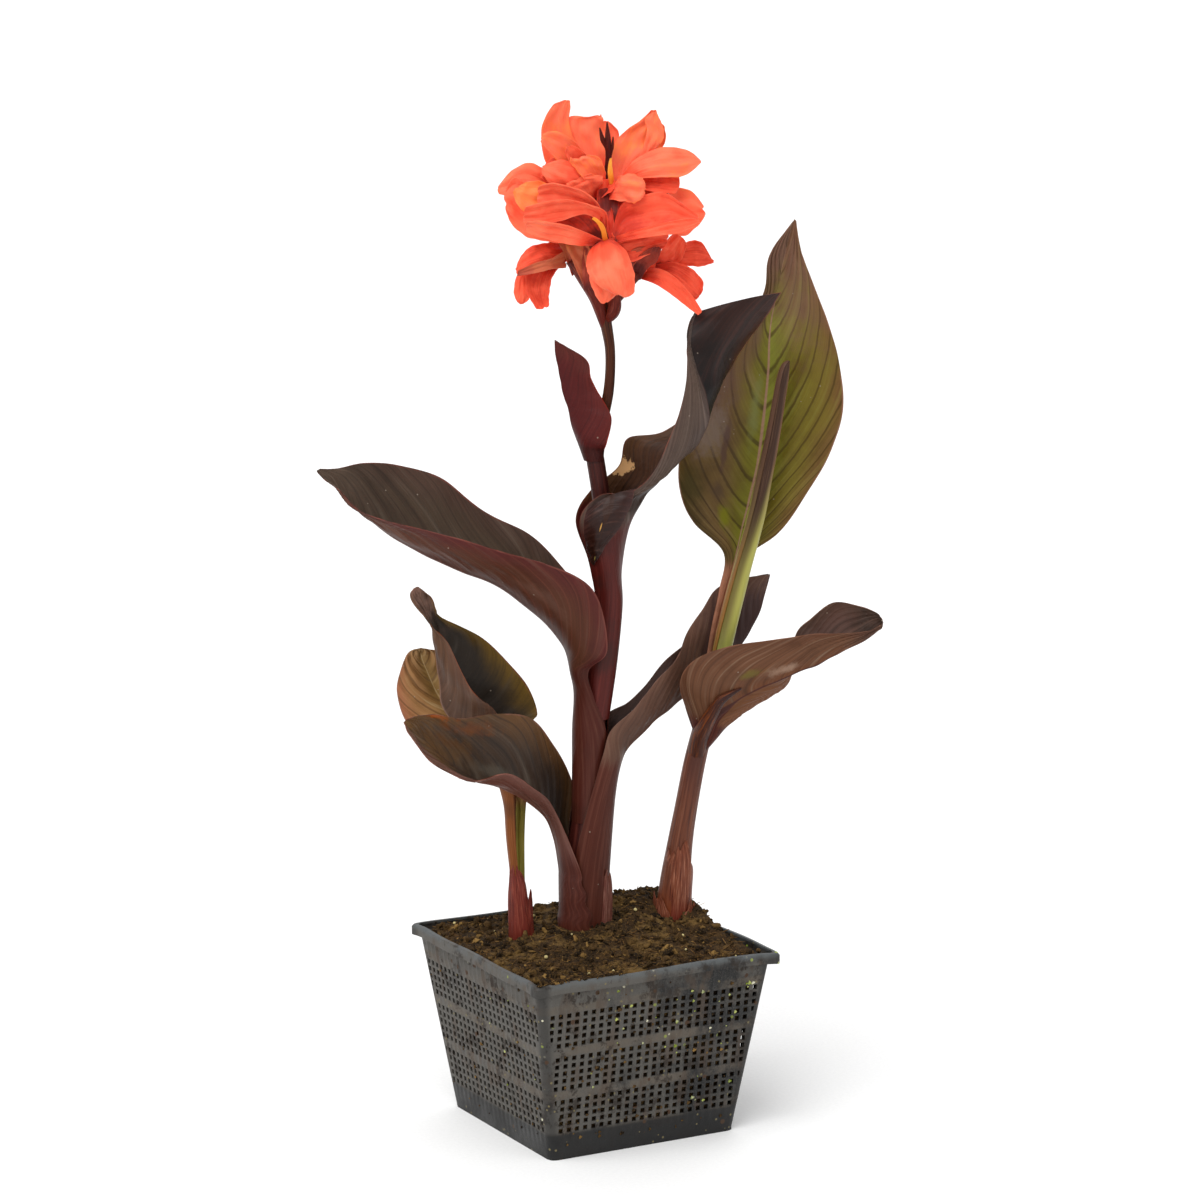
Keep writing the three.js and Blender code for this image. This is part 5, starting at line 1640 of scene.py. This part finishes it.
@dataclass
class Tube:
    """One round shoot or stalk: points of x, y, z and radius."""

    points: tuple
    sides: int = 40
    rows: int = 90
    ribs: float = 0.015
    ribbing: int = 22
    knots: tuple = ()

    def swell(self, angle: np.ndarray, along: np.ndarray) -> np.ndarray:
        """The radius factor: fine ribs, a little unevenness and a swelling at each knot."""
        ribs = self.ribs * np.cos(self.ribbing * angle + 2.0 * np.sin(5 * along))
        uneven = 0.02 * np.sin(2 * angle + 7 * along) + 0.012 * np.sin(3 * angle - 13 * along)
        knots = sum(0.16 * np.exp(-(((along - k) / 0.012) ** 2)) for k in self.knots)
        return 1 + ribs + uneven + knots

    def mesh(self, name: str) -> Piece:
        """Builds the tube with closed ends."""
        angle = np.linspace(0, 2 * math.pi, self.sides + 1)[None, :]
        along = np.linspace(0, 1, self.rows)[:, None]
        obj = grid_object(name, to_row(wound(self.points, angle, self.swell(angle, along))))
        edit(obj, weld(), fill_ends, face_out)
        shade(obj, 50)
        return obj


@dataclass
class Stems:
    """The culm with its buds and ovaries, the feet of the two side shoots and their scales."""

    slot: str = "stem"

    @staticmethod
    def husk_mesh(husk: Husk, index: int) -> Piece:
        """Builds one thin scale with a torn top."""
        t = np.linspace(0, 1, 37)[:, None]
        v = np.linspace(-1, 1, 25)[None, :]
        foot, top = np.array(husk.foot, float), np.array(husk.top, float)
        jag = lumps_over(v, t, 2.6, 3.0, index + 0.5)
        narrow = 1 - 0.6 * t**5 + 0.6 * husk.torn * jag * smooth(t, 0.1, 0.5)
        angle = np.radians(husk.azimuth + husk.reach * v * narrow)
        radius = husk.foot_radius + (husk.top_radius - husk.foot_radius) * t + 0.5 * jag + 0.3 * np.cos(9 * v)
        axis = foot + (top - foot) * (t + husk.torn * (jag[-1:] - 0.3 * v**2) * t**4)[..., None]
        obj = grid_object(f"husk_{index}", to_row(axis + ring_of(angle) * radius[..., None]))
        modify(obj, "SOLIDIFY", thickness=0.5 * MM, offset=0.0)
        return obj

    def build(self) -> None:
        """Builds and dresses the stems."""
        culm_finish = StemFinish("#441e1a", "#66362e", "#291210", "#502820", 0.2)
        stalk_finish = StemFinish("#4a2416", "#6a4028", "#2c160c", "#4a2416")
        bud_finish = StemFinish("#4a1410", "#7a2a1c", "#280a08", "#4a1410")
        ovary_finish = StemFinish("#66241c", "#8e483a", "#3e140f", "#5e2a20")
        midrib_finish = StemFinish("#4c2a1e", "#8c4e2c", "#2a1616", "#5a3222", stripe=0.8)
        midrib = Tube(LOW_RIGHT_MIDRIB, 28, 60).mesh("right_shoot_midrib")
        dress(midrib, [midrib_finish.material("midrib_skin")])
        culm = Tube(CULM[: STALK_FOOT + 1], 48, 150).mesh("culm")
        stalk = Tube(CULM[STALK_FOOT:], 32, 90, knots=(0.1,)).mesh("flower_stalk")
        buds = [Tube(p, 16, 16).mesh(f"bud_{i}") for i, p in enumerate(SPIKE)]
        buds = joined("flower_buds", buds)
        ovaries = [Tube(p, 24, 24, 0.03, 9).mesh(f"ovary_{i}") for i, p in enumerate(OVARIES)]
        ovaries = joined("ovaries", ovaries)
        dress(culm, [culm_finish.material("culm_skin")], ("main_stem",))
        dress(stalk, [stalk_finish.material("stalk_skin")], ("main_stem",))
        dress(buds, [bud_finish.material("bud_skin")], ("main_stem",))
        dress(ovaries, [ovary_finish.material("ovary_skin")])
        self.shoot("right_shoot", "right_stem", RIGHT_STEM,
                   StemFinish("#6c4030", "#845644", "#462822", "#7c422c", 0.35, stripe=0.77))
        self.husks("right_shoot", HUSKS_RIGHT, StemFinish("#804a38", "#ac7660", "#48201a", "#70322a", 0.6))
        self.shoot("left_shoot", "left_stem", LEFT_STEM,
                   StemFinish("#70382c", "#a86a54", "#44201a", "#6c2e24", 0.9))
        self.husks("left_shoot", HUSKS_LEFT, StemFinish("#7a3830", "#a05c4c", "#441a16", "#662c24", 0.4))
        self.husks("main_base", HUSKS_MAIN, StemFinish("#70443a", "#a07668", "#4a241e", "#6a342a", 0.3))

    def shoot(self, name: str, node: str, points: tuple, finish: StemFinish) -> None:
        """Builds and dresses the foot of one side shoot."""
        tube = Tube(points, 44, 110, 0.02, 16).mesh(name)
        dress(tube, [finish.material(name + "_skin")], (node,))

    def husks(self, name: str, husks: tuple, finish: StemFinish) -> None:
        """Builds and dresses the scales of one shoot."""
        scales = joined(name + "_scales", [self.husk_mesh(h, i + len(name)) for i, h in enumerate(husks)])
        shade(scales, 50)
        dress(scales, [finish.material(name + "_scale_skin")])


@dataclass
class RolledLeaf:
    """The unopened leaf: a spear rolled in a spiral, with its overlapping edge."""

    turns: float = 1.45
    columns: int = 90
    rows: int = 150
    slot: str = "leaf_olive"

    def mesh(self) -> Piece:
        """Builds the spiral as one thin shell."""
        u = np.linspace(0, 1, self.columns)[None, :]
        t = np.linspace(0, 1, self.rows)[:, None]
        angle = 2 * math.pi * self.turns * u + 0.9 + 0.8 * t
        factor = (0.80 + 0.2 * u) * (1 + 0.012 * np.sin(40 * t + 6 * angle))
        obj = grid_object("rolled_leaf", to_row(wound(ROLLED_LINE, angle, factor)))
        modify(obj, "SOLIDIFY", thickness=0.5 * MM, offset=-1.0)
        shade(obj, 50)
        return obj

    @staticmethod
    def material() -> Skin:
        """Brown outside, green towards its foot, with a paler overlapping edge, and darker round one side of
        the spiral as painted shade and paler round the other as painted light.
        """
        p = Palette("rolled_leaf_skin")
        u, t = p.across_along()
        stripe = p.clouds(p.join(p.times(u, 60.0), p.times(t, 6.0)), 1.0, 4.0)
        slant = p.plus(p.times(u, 26.0), p.times(t, 60.0))
        vein = p.clouds(p.join(slant, 0.0, 2.0), 1.0, 2.0)
        # The roll's own brown, darker round one side of the spiral as painted shade and paler round the other
        # as painted light.
        colour = p.tints(
            "#38241a",
            ("#745440", u, 0.42, 0.48),
            ("#52382c", u, 0.88, 0.93),
            ("#7a5c44", stripe, 0.5, 0.7, 0.4),
            ("#3c241a", vein, 0.5, 0.35, 0.35),
        )
        # The green at the foot is split the same way: darker painted shade round one side, paler painted
        # light round the other.
        green = p.tint("#6f6438", "#a8a458", u, 0.35, 0.46)
        lower = p.plus(t, p.ease(u, 0.5, 0.36, 0.12))
        colour = p.tint(colour, green, lower, 0.7, 0.44)
        colour = p.tint(colour, "#a4ae5c", t, 0.3, 0.12, 0.9)
        edge = p.tint("#5c4234", "#84502f", t, 0.55, 0.3)
        colour = p.tint(colour, edge, u, 0.9, 0.95, 0.85)
        colour = p.deepened(colour, 1.05, 0.95)
        return p.finish(colour, 0.42, vein, 0.0003, Specular_IOR_Level=0.2)

    def build(self) -> None:
        """Builds and dresses the rolled leaf."""
        dress(self.mesh(), [self.material()], ("leaf_rolled",))


# ---------------------------------------------------------------------------------------------
# Leaves.


@dataclass
class Leaf:
    """One leaf, from its sheath or stalk to its tip."""

    name: str
    node: str
    slot: str
    stations: tuple
    finish: LeafFinish
    columns: int = 49
    rows: int = 161
    open_at: float = 0.3
    pleat_depth: float = 0.28
    crumple: float = 1.6
    wave: float = 1.0
    waves: float = 5.0
    groove: float = 1.1
    thickness: float = 0.6

    def relief(self, v: np.ndarray, t: np.ndarray) -> np.ndarray:
        """How far each point moves along the upper normal, in millimetres."""
        a = np.abs(v)
        opened = smooth(t, self.open_at, self.open_at + 0.15) * smooth(1 - t, 0.0, 0.08)
        phase = 2.1 * (v > 0) + 1.7 * len(self.name)
        turn = 2 * math.pi * self.finish.pleats * self.finish.vein(v, t)
        pleat = np.cos(turn) + 0.5 * np.cos(1.73 * turn)
        pleat = pleat * self.pleat_depth * smooth(a, 0.05, 0.3) * smooth(1 - a, 0.0, 0.12)
        wave = self.wave * a**2.5 * np.sin(2 * math.pi * self.waves * t + phase)
        groove = -self.groove * np.exp(-((a / 0.055) ** 2)) * (1 - 0.8 * t)
        groove = groove * smooth(t, self.open_at - 0.1, self.open_at + 0.1)
        lumps = lumps_over(v, t, 2.3, 15, len(self.name))
        return (pleat + wave + self.crumple * lumps) * opened + groove

    def mesh(self) -> Piece:
        """Builds the blade with its sheath, as one thin closed shell."""
        v = np.linspace(-1, 1, self.columns)
        v = np.sign(v) * np.abs(v) ** 1.08
        middles = np.array([s.middle() for s in self.stations])
        last = len(middles) - 1
        rows = []
        for k, station in enumerate(self.stations):
            along = unit(middles[min(k + 1, last)] - middles[max(k - 1, 0)])
            rows.append(station.row(v, along))
        grid = refined(np.array(rows), self.rows)
        t = np.linspace(0, 1, self.rows)[:, None]
        grid = grid + normals_of(grid) * self.relief(v[None, :], t)[..., None]
        obj = grid_object(self.name, to_row(grid))
        for _ in Coat:
            obj.data.materials.append(None)
        modify(obj, "SOLIDIFY", thickness=self.thickness * MM, offset=0.0,
               material_offset=Coat.UNDER.value, material_offset_rim=Coat.RIM.value)
        shade(obj, 60)
        return obj

    def build(self) -> None:
        """Builds and dresses the leaf."""
        dress(self.mesh(), self.finish.materials(self.name), (self.node,) if self.node else ())


# ---------------------------------------------------------------------------------------------
# Blooms.


@dataclass
class Bloom:
    """One group of petals with the tubes they grow from."""

    name: str
    petals: tuple
    tubes: tuple
    finish: PetalFinish
    nodes: tuple = ()
    columns: int = 21
    rows: int = 33
    thickness: float = 0.5
    folds: float = 0.035

    def petal_mesh(self, petal: Petal, index: int) -> Piece:
        """Builds one petal, cupped, folded and ruffled."""
        table = np.array(petal.rows, float)
        left = seen(table[:, 0], table[:, 1], table[:, 4] - petal.tilt)
        right = seen(table[:, 2], table[:, 3], table[:, 4] + petal.tilt)
        margins = refined(np.stack([left, right], axis=1), self.rows)
        t = np.linspace(0, 1, self.rows)[:, None]
        v = np.linspace(-1, 1, self.columns)[None, :]
        centre, half = (margins[:, 0] + margins[:, 1]) / 2, (margins[:, 1] - margins[:, 0]) / 2
        width = np.linalg.norm(half, axis=1)[:, None]
        along = unit(np.gradient(centre, axis=0))
        normal = unit(np.cross(along, half))
        normal *= np.sign(normal @ np.array([0.0, -1.0, 0.2]))[:, None]
        salt = 0.7 * index + 3.1 * petal.tone
        ragged = 0.6 * np.sin(19 * t + salt + 2 * (v > 0)) + 0.4 * np.sin(43 * t + 3 * salt + (v > 0))
        spread = v * (1 + petal.ruffle * 0.6 * ragged * np.abs(v) * smooth(t, 0.1, 0.4))
        lumps = lumps_over(v, t, 1.9, 4.5, index)
        lift = petal.cup * (v * v - 1) + petal.ruffle * np.sin(11 * t + 2.4 * v + salt) * np.abs(v) ** 1.5
        folds = self.folds * np.cos(7.5 * v + 2 * t + salt) * smooth(1 - np.abs(v), 0.0, 0.4)
        lift += folds + 0.22 * lumps * smooth(t, 0, 0.3)
        notch = 0.35 * chance(index, 5) * np.exp(-((v - 0.3 + 0.6 * chance(index, 6)) / 0.25) ** 2)
        push = (petal.tip * (1 - v * v) - notch) * width[-1] * smooth(t, 0.7, 1.0)
        sides = half[:, None] * spread[..., None]
        rise = normal[:, None] * (lift * width)[..., None]
        grid = centre[:, None] + sides + rise + along[:, None] * push[..., None]
        obj = grid_object(f"{self.name}_{index}", to_row(grid))
        modify(obj, "SOLIDIFY", thickness=self.thickness * MM, offset=0.0)
        tone_points(obj, petal.tone)
        return obj

    def build(self) -> None:
        """Builds and dresses the bloom."""
        petals = [self.petal_mesh(p, i) for i, p in enumerate(self.petals)]
        for i, points in enumerate(self.tubes):
            tube = Tube(points, 20, 16, 0.03, 6).mesh(f"{self.name}_tube_{i}")
            tone_points(tube, 0.45)
            petals.append(tube)
        obj = joined(self.name, petals)
        shade(obj, 60)
        dress(obj, [self.finish.material(self.name + "_petal")], self.nodes)


# ---------------------------------------------------------------------------------------------
# The setting.


@dataclass
class Studio:
    """The pale floor, the soft lights and the camera."""

    suns: tuple = (
        ("key", -66.0, 50.0, 2.5, 56.0),
        ("fill", 20.0, 32.0, 0.55, 60.0),
        ("back", 150.0, 45.0, 0.7, 60.0),
    )
    floor_size: float = 80.0

    def camera(self) -> None:
        """Places the camera where it sees the plant's frame."""
        back = direction(PLANT_TURN, CAMERA_TILT)
        right = Vector((math.cos(PLANT_TURN), math.sin(PLANT_TURN), 0))
        target = right * (AIM[0] * MM) + Vector((0, 0, AIM[1] * MM))
        deselect()
        bpy.ops.object.camera_add(location=target + back * (CAMERA_REACH * MM))
        camera = bpy.context.object
        camera.name = "camera"
        camera.rotation_euler = back.to_track_quat("Z", "Y").to_euler()
        camera.data.lens = LENS
        camera.data.sensor_width = SENSOR
        bpy.context.scene.camera = camera

    def floor(self) -> None:
        """Lays the pale floor."""
        deselect()
        bpy.ops.mesh.primitive_plane_add(size=self.floor_size)
        floor = bpy.context.object
        floor.name = "floor"
        p = Palette("floor_paper")
        grain = p.clouds(p.place(), 400.0, 2.0)
        floor.data.materials.append(p.finish(p.tint("#f2f2f1", "#f6f6f5", grain, 0.3, 0.7), 0.9))

    def lights(self) -> None:
        """Hangs a wide key light to the upper left, a weak fill and an even sky."""
        world = bpy.data.worlds.new("sky")
        bpy.context.scene.world = world
        world.use_nodes = True
        sky = world.node_tree.nodes["Background"].inputs
        sky["Color"].default_value = rgb("#fdfdff")
        sky["Strength"].default_value = 0.5
        for name, azimuth, elevation, strength, width in self.suns:
            towards = direction(math.radians(azimuth), math.radians(elevation))
            deselect()
            bpy.ops.object.light_add(type="SUN", location=towards * 2)
            sun = bpy.context.object
            sun.name = name
            sun.rotation_euler = towards.to_track_quat("Z", "Y").to_euler()
            sun.data.energy = strength
            sun.data.angle = math.radians(width)

    def build(self) -> None:
        """Sets up the whole studio."""
        self.camera()
        self.floor()
        self.lights()
        bpy.context.scene.view_settings.view_transform = "Standard"


# ---------------------------------------------------------------------------------------------
# Finishes and the list of pieces.

UPPER_LEFT_LEAF_FINISH = LeafFinish(
    LeafSide("#3b3026", "#45382d", "#4c3830", "#4e4036", "#7a6e62", "#241a13", "#4f3a32", "#261c16"),
    LeafSide("#48281f", "#523226", "#562828", "#5e463c", "#785e52", "#341c16", "#6a3e34"),
    "#7a4a42", "#46221c", "#603e34", 0.32, veins=0.3,
    marks=(
        Mark(-0.5, 0.5, 0.08, "#6c5046", 2.0, 0.0, 0.4, 0.8),
        Mark(-0.8, 0.36, 0.05, "#43201f", 3.0, 0.0, 0.6, 0.8),
    ),
)
LOWER_LEFT_LEAF_FINISH = LeafFinish(
    LeafSide("#33281f", "#3e3026", "#64462c", "#6a4c2e", "#7a6e60", "#1c140e", "#3a2a20", "#1a120c"),
    LeafSide("#64443a", "#64423a", "#7a5850", "#6c5448", "#94746a", "#48291f", "#744840"),
    "#8a6056", "#48231c", "#6c4036", 0.495, veins=0.4, shine=0.24, fold=-0.45,
    marks=(
        Mark(0.78, 0.8, 0.07, "#6e4024", 2.4, 0.0, 0.65, 1.2),
        Mark(0.96, 0.875, 0.04, "#a4501f", 2.6, 0.0, 0.75, 1.2),
        Mark(0.45, 0.83, 0.06, "#54361e", 2.4, 0.0, 0.6),
        # Painted sheen: a grey patch beside the midrib.
        Mark(0.2, 0.72, 0.09, "#5c564c", 1.6, 0.0, 0.5, 1.0),
        Mark(0.6, 0.6, 0.1, "#281c16", 4.0, 0.0, 0.75, 0.6),
    ),
    upper_left=LeafSide("#5a3a34", "#68443c", "#7e5a50", "#5a4434", "#9c7c70", "#44291f", "#5a342c"),
)
MIDDLE_RIGHT_LEAF_FINISH = LeafFinish(
    LeafSide("#35241f", "#3a2a25", "#4c352d", "#6a5046", "#5a463e", "#201410", "#4a302a"),
    LeafSide("#543c33", "#5e453a", "#6c5044", "#664c42", "#86705f", "#33241e", "#64443a"),
    "#7f6054", "#4a261e", "#6a4238", 0.3, veins=0.25,
    marks=(
        Mark(0.0, 0.84, 0.22, "#3a2a2a", 6.0, 0.3, 0.8, 0.4),
    ),
)
SCROLLED_LEAF_FINISH = LeafFinish(
    LeafSide("#27160f", "#4a2f20", "#64452f", "#4a302a", "#6a5044", "#1a0e0a", "#2a1a14", "#1c100c"),
    LeafSide("#4a3c36", "#58483f", "#56443c", "#4c423e", "#8e7c72", "#2c201c", "#4e3630", "#2c201c"),
    "#7c4c40", "#4c1f1c", "#6a332e", 0.3, 0.4, veins=0.3, shine=0.22, pleats=20.0, slant=0.03,
    marks=(
        Mark(-0.93, 0.432, 0.028, "#f0c090", 5.0, 0.8, 1.0, 1.4),
        Mark(0.5, 0.36, 0.07, "#2b1912", 20.0, 0.5, 0.9, 0.35),
    ),
    # Painted shade: this side's near-black middle stands for the deep shade inside the scroll's throat; its
    # margins keep the leaf's own colour.
    under_left=LeafSide(
        "#080302", "#1c0c08", "#48261f", "#2c1610", "#54322a", "#090302", "#180e0a", "#100604",
    ),
)
SCROLLED_COLLAR_FINISH = LeafFinish(
    LeafSide("#2a1712", "#2c1813", "#3a2220", "#2a1712", "#5a3c34", "#140a07", "#2c1813"),
    LeafSide("#25120d", "#2a1510", "#3c2422", "#2a1712", "#6a4a40", "#120806", "#30190f"),
    "#6a4a40", gloss=0.34, veins=0.1, shine=0.24, lean=0.1, pleats=5.0,
    marks=(
        Mark(-0.15, 0.32, 0.06, "#c89a60", 0.7, 0.4, 0.9, 0.8),
        Mark(0.1, 0.74, 0.05, "#b8a868", 2.5, 0.2, 0.9, 1.0),
    ),
)
TALL_RIGHT_LEAF_FINISH = LeafFinish(
    LeafSide("#4a4420", "#4c4222", "#5a4030", "#54402e", "#686030", "#332a14", "#6a4a30"),
    LeafSide("#74702e", "#6a5434", "#4a3a1c", "#74564a", "#94805a", "#42301c", "#a07c6a", "#3c2c18"),
    "#8a6654", "#ac7660", "#cc9c88", 0.22, 0.26, veins=0.7, shine=0.14, pleats=15.0, richness=1.08,
    marks=(
        Mark(0.8, 0.62, 0.15, "#644c42", 3.0, 0.0, 0.9, 0.6),
        Mark(0.5, 0.75, 0.12, "#66503e", 3.0, 0.0, 0.7, 0.6),
        Mark(0.5, 0.43, 0.04, "#4c3a2c", 4.0, 0.0, 0.7, 0.8),
        Mark(-0.5, 0.84, 0.2, "#74584a", 4.0, 0.1, 0.6, 0.5),
        Mark(0.68, 0.56, 0.08, "#76665a", 3.0, 0.2, 0.7, 0.8),
        # Painted highlight: a pale greyish green patch beside the midrib.
        Mark(0.16, 0.6, 0.09, "#7c7e4e", 1.4, 0.1, 0.65, 0.7),
        Mark(0.4, 0.36, 0.05, "#74741e", 3.0, 0.1, 0.75, 0.6),
        # Painted shade: a dark olive patch on the lower lobe where it curves away.
        Mark(0.85, 0.43, 0.06, "#42391a", 4.0, 0.1, 0.75, 0.6),
        Mark(0.48, 0.525, 0.07, "#4e3832", 0.8, 0.3, 0.7, 0.5),
    ),
    under_left=LeafSide(
        "#7c7e36", "#6c6028", "#6a4c30", "#7c5848", "#949050", "#4c3c1a", "#a07c6a", "#40300f",
    ),
)
LOW_RIGHT_LEAF_FINISH = LeafFinish(
    LeafSide("#503830", "#4e362e", "#463228", "#281e16", "#6a5248", "#281a14", "#5a4034", "#302018"),
    LeafSide("#6a4634", "#644636", "#583a2c", "#54403a", "#a8947f", "#362318", "#3c2020", "#3c261c"),
    "#8a6250", "#421e1a", "#7a4636", 0.15, 0.4, veins=0.35, shine=0.14, pleats=14.0,
    marks=(
        Mark(0.4, 0.42, 0.05, "#6c6432", 2.5, 0.0, 0.6, 1.2),
        Mark(0.25, 0.52, 0.08, "#a88e7c", 2.0, 0.0, 0.6, 1.2),
    ),
    under_left=LeafSide(
        "#6c4a36", "#744e3a", "#6e4a38", "#6a4a3a", "#967460", "#4a2e20", "#4a2420", "#563828",
    ),
)
LEFT_FOLDED_LEAF_FINISH = LeafFinish(
    LeafSide("#2d251e", "#2b231c", "#6c5328", "#8c6c60", "#4a433c", "#15100c", "#5a3f2e", "#1a140e"),
    LeafSide("#4e382c", "#563e30", "#60463a", "#b4988a", "#8c7262", "#34251d", "#7a5c4e"),
    "#7a4c3c", "#78492f", "#a4704f", 0.26, veins=0.14, pleats=15.0,
)
LEFT_REAR_LEAF_FINISH = LeafFinish(
    LeafSide("#84684a", "#8f7050", "#906e5c", "#846a50", "#c8b080", "#5c4630", "#9c8058", "#604830"),
    LeafSide("#8a6a3a", "#a07448", "#985c40", "#8c6e4a", "#dcc08e", "#604426", "#b09468", "#5e4024"),
    "#9a7060", "#7c7028", "#aea04c", 0.28, veins=0.6, pleats=12.0, richness=1.0,
)
SPATHE_FINISH = LeafFinish(
    LeafSide("#4c1e1e", "#522220", "#5e2a26", "#5e342e", "#6c3632", "#301212", "#401c1a"),
    LeafSide("#4c1e1e", "#4e201f", "#5c2825", "#5c322c", "#6a3531", "#301212", "#4a1e1c"),
    "#9a3a2e", "#3a1816", "#502823", 0.2, 0.6,
)
LEAVES = (
    Leaf(
        "leaf_upper_left_blade", "leaf_upper_left", "leaf_dark", UPPER_LEFT_LEAF, UPPER_LEFT_LEAF_FINISH,
        open_at=0.34,
    ),
    Leaf(
        "leaf_lower_left_blade", "leaf_lower_left", "leaf_dark", LOWER_LEFT_LEAF, LOWER_LEFT_LEAF_FINISH,
        open_at=0.46, rows=201,
    ),
    Leaf(
        "leaf_middle_right_blade", "leaf_middle_right", "leaf_dark", MIDDLE_RIGHT_LEAF,
        MIDDLE_RIGHT_LEAF_FINISH, open_at=0.34,
    ),
    Leaf(
        "leaf_scrolled_blade", "leaf_scrolled", "leaf_dark", SCROLLED_LEAF, SCROLLED_LEAF_FINISH,
        open_at=0.28,
    ),
    Leaf(
        "leaf_scrolled_collar", "", "leaf_dark", SCROLLED_COLLAR, SCROLLED_COLLAR_FINISH, columns=33,
        rows=61, open_at=-0.2, groove=0.0, wave=0.6, waves=1.5, pleat_depth=0.1, crumple=0.6,
    ),
    Leaf(
        "leaf_tall_right_blade", "leaf_tall_right", "leaf_olive", TALL_RIGHT_LEAF, TALL_RIGHT_LEAF_FINISH,
        open_at=0.26, waves=3.0, wave=0.8, pleat_depth=0.5,
    ),
    Leaf(
        "leaf_low_right_blade", "leaf_low_right", "leaf_brown", LOW_RIGHT_LEAF, LOW_RIGHT_LEAF_FINISH,
        open_at=0.12, waves=3.0, wave=0.6, pleat_depth=0.35, crumple=1.2,
    ),
    Leaf(
        "leaf_left_folded_blade", "leaf_left_folded", "leaf_dark", LEFT_FOLDED_LEAF,
        LEFT_FOLDED_LEAF_FINISH, open_at=0.3,
    ),
    Leaf(
        "leaf_left_rear_blade", "leaf_left_rear", "leaf_bronze", LEFT_REAR_LEAF, LEFT_REAR_LEAF_FINISH,
        open_at=0.3, pleat_depth=0.5,
    ),
    Leaf(
        "bract_blade", "bract", "bract", SPATHE, SPATHE_FINISH, open_at=0.3, groove=0.5, wave=0.4,
        columns=33, rows=81, pleat_depth=0.08, crumple=0.3,
    ),
)
CORAL = PetalFinish(("#62140b", "#c83219", "#ee5638", "#f7704e", "#fb7f42"))
SEPAL = PetalFinish(("#5a1812", "#882c1c", "#b04c34", "#c0603c", "#cc7438"), 0.5, 0.05)
STAMEN = PetalFinish(("#c46a18", "#ee8a22", "#f89a2e", "#fcae48", "#fcc060"))
BLOOMS = (
    Bloom("bloom_head", BLOOM_HEAD_PETALS, BLOOM_HEAD_TUBES, CORAL, ("bloom_head",)),
    Bloom("bloom_low_right", BLOOM_LOW_RIGHT_PETALS, BLOOM_LOW_RIGHT_TUBES, CORAL, ("bloom_low_right",)),
    Bloom("bloom_low_left", BLOOM_LOW_LEFT_PETALS, BLOOM_LOW_LEFT_TUBES, CORAL, ("bloom_low_left",)),
    Bloom("flower_sepals", SEPAL_PETALS, (), SEPAL),
    Bloom("flower_stamens", STAMEN_PETALS, (), STAMEN, folds=0.0),
)


def main() -> None:
    """Builds every piece in order."""
    logging.basicConfig(level=logging.INFO, format="%(name)s: %(message)s")
    Studio().build()
    basket = Basket()
    basket.build()
    Soil(basket).build()
    Stems().build()
    RolledLeaf().build()
    for piece in (*LEAVES, *BLOOMS):
        piece.build()


if __name__ == "__main__":
    main()
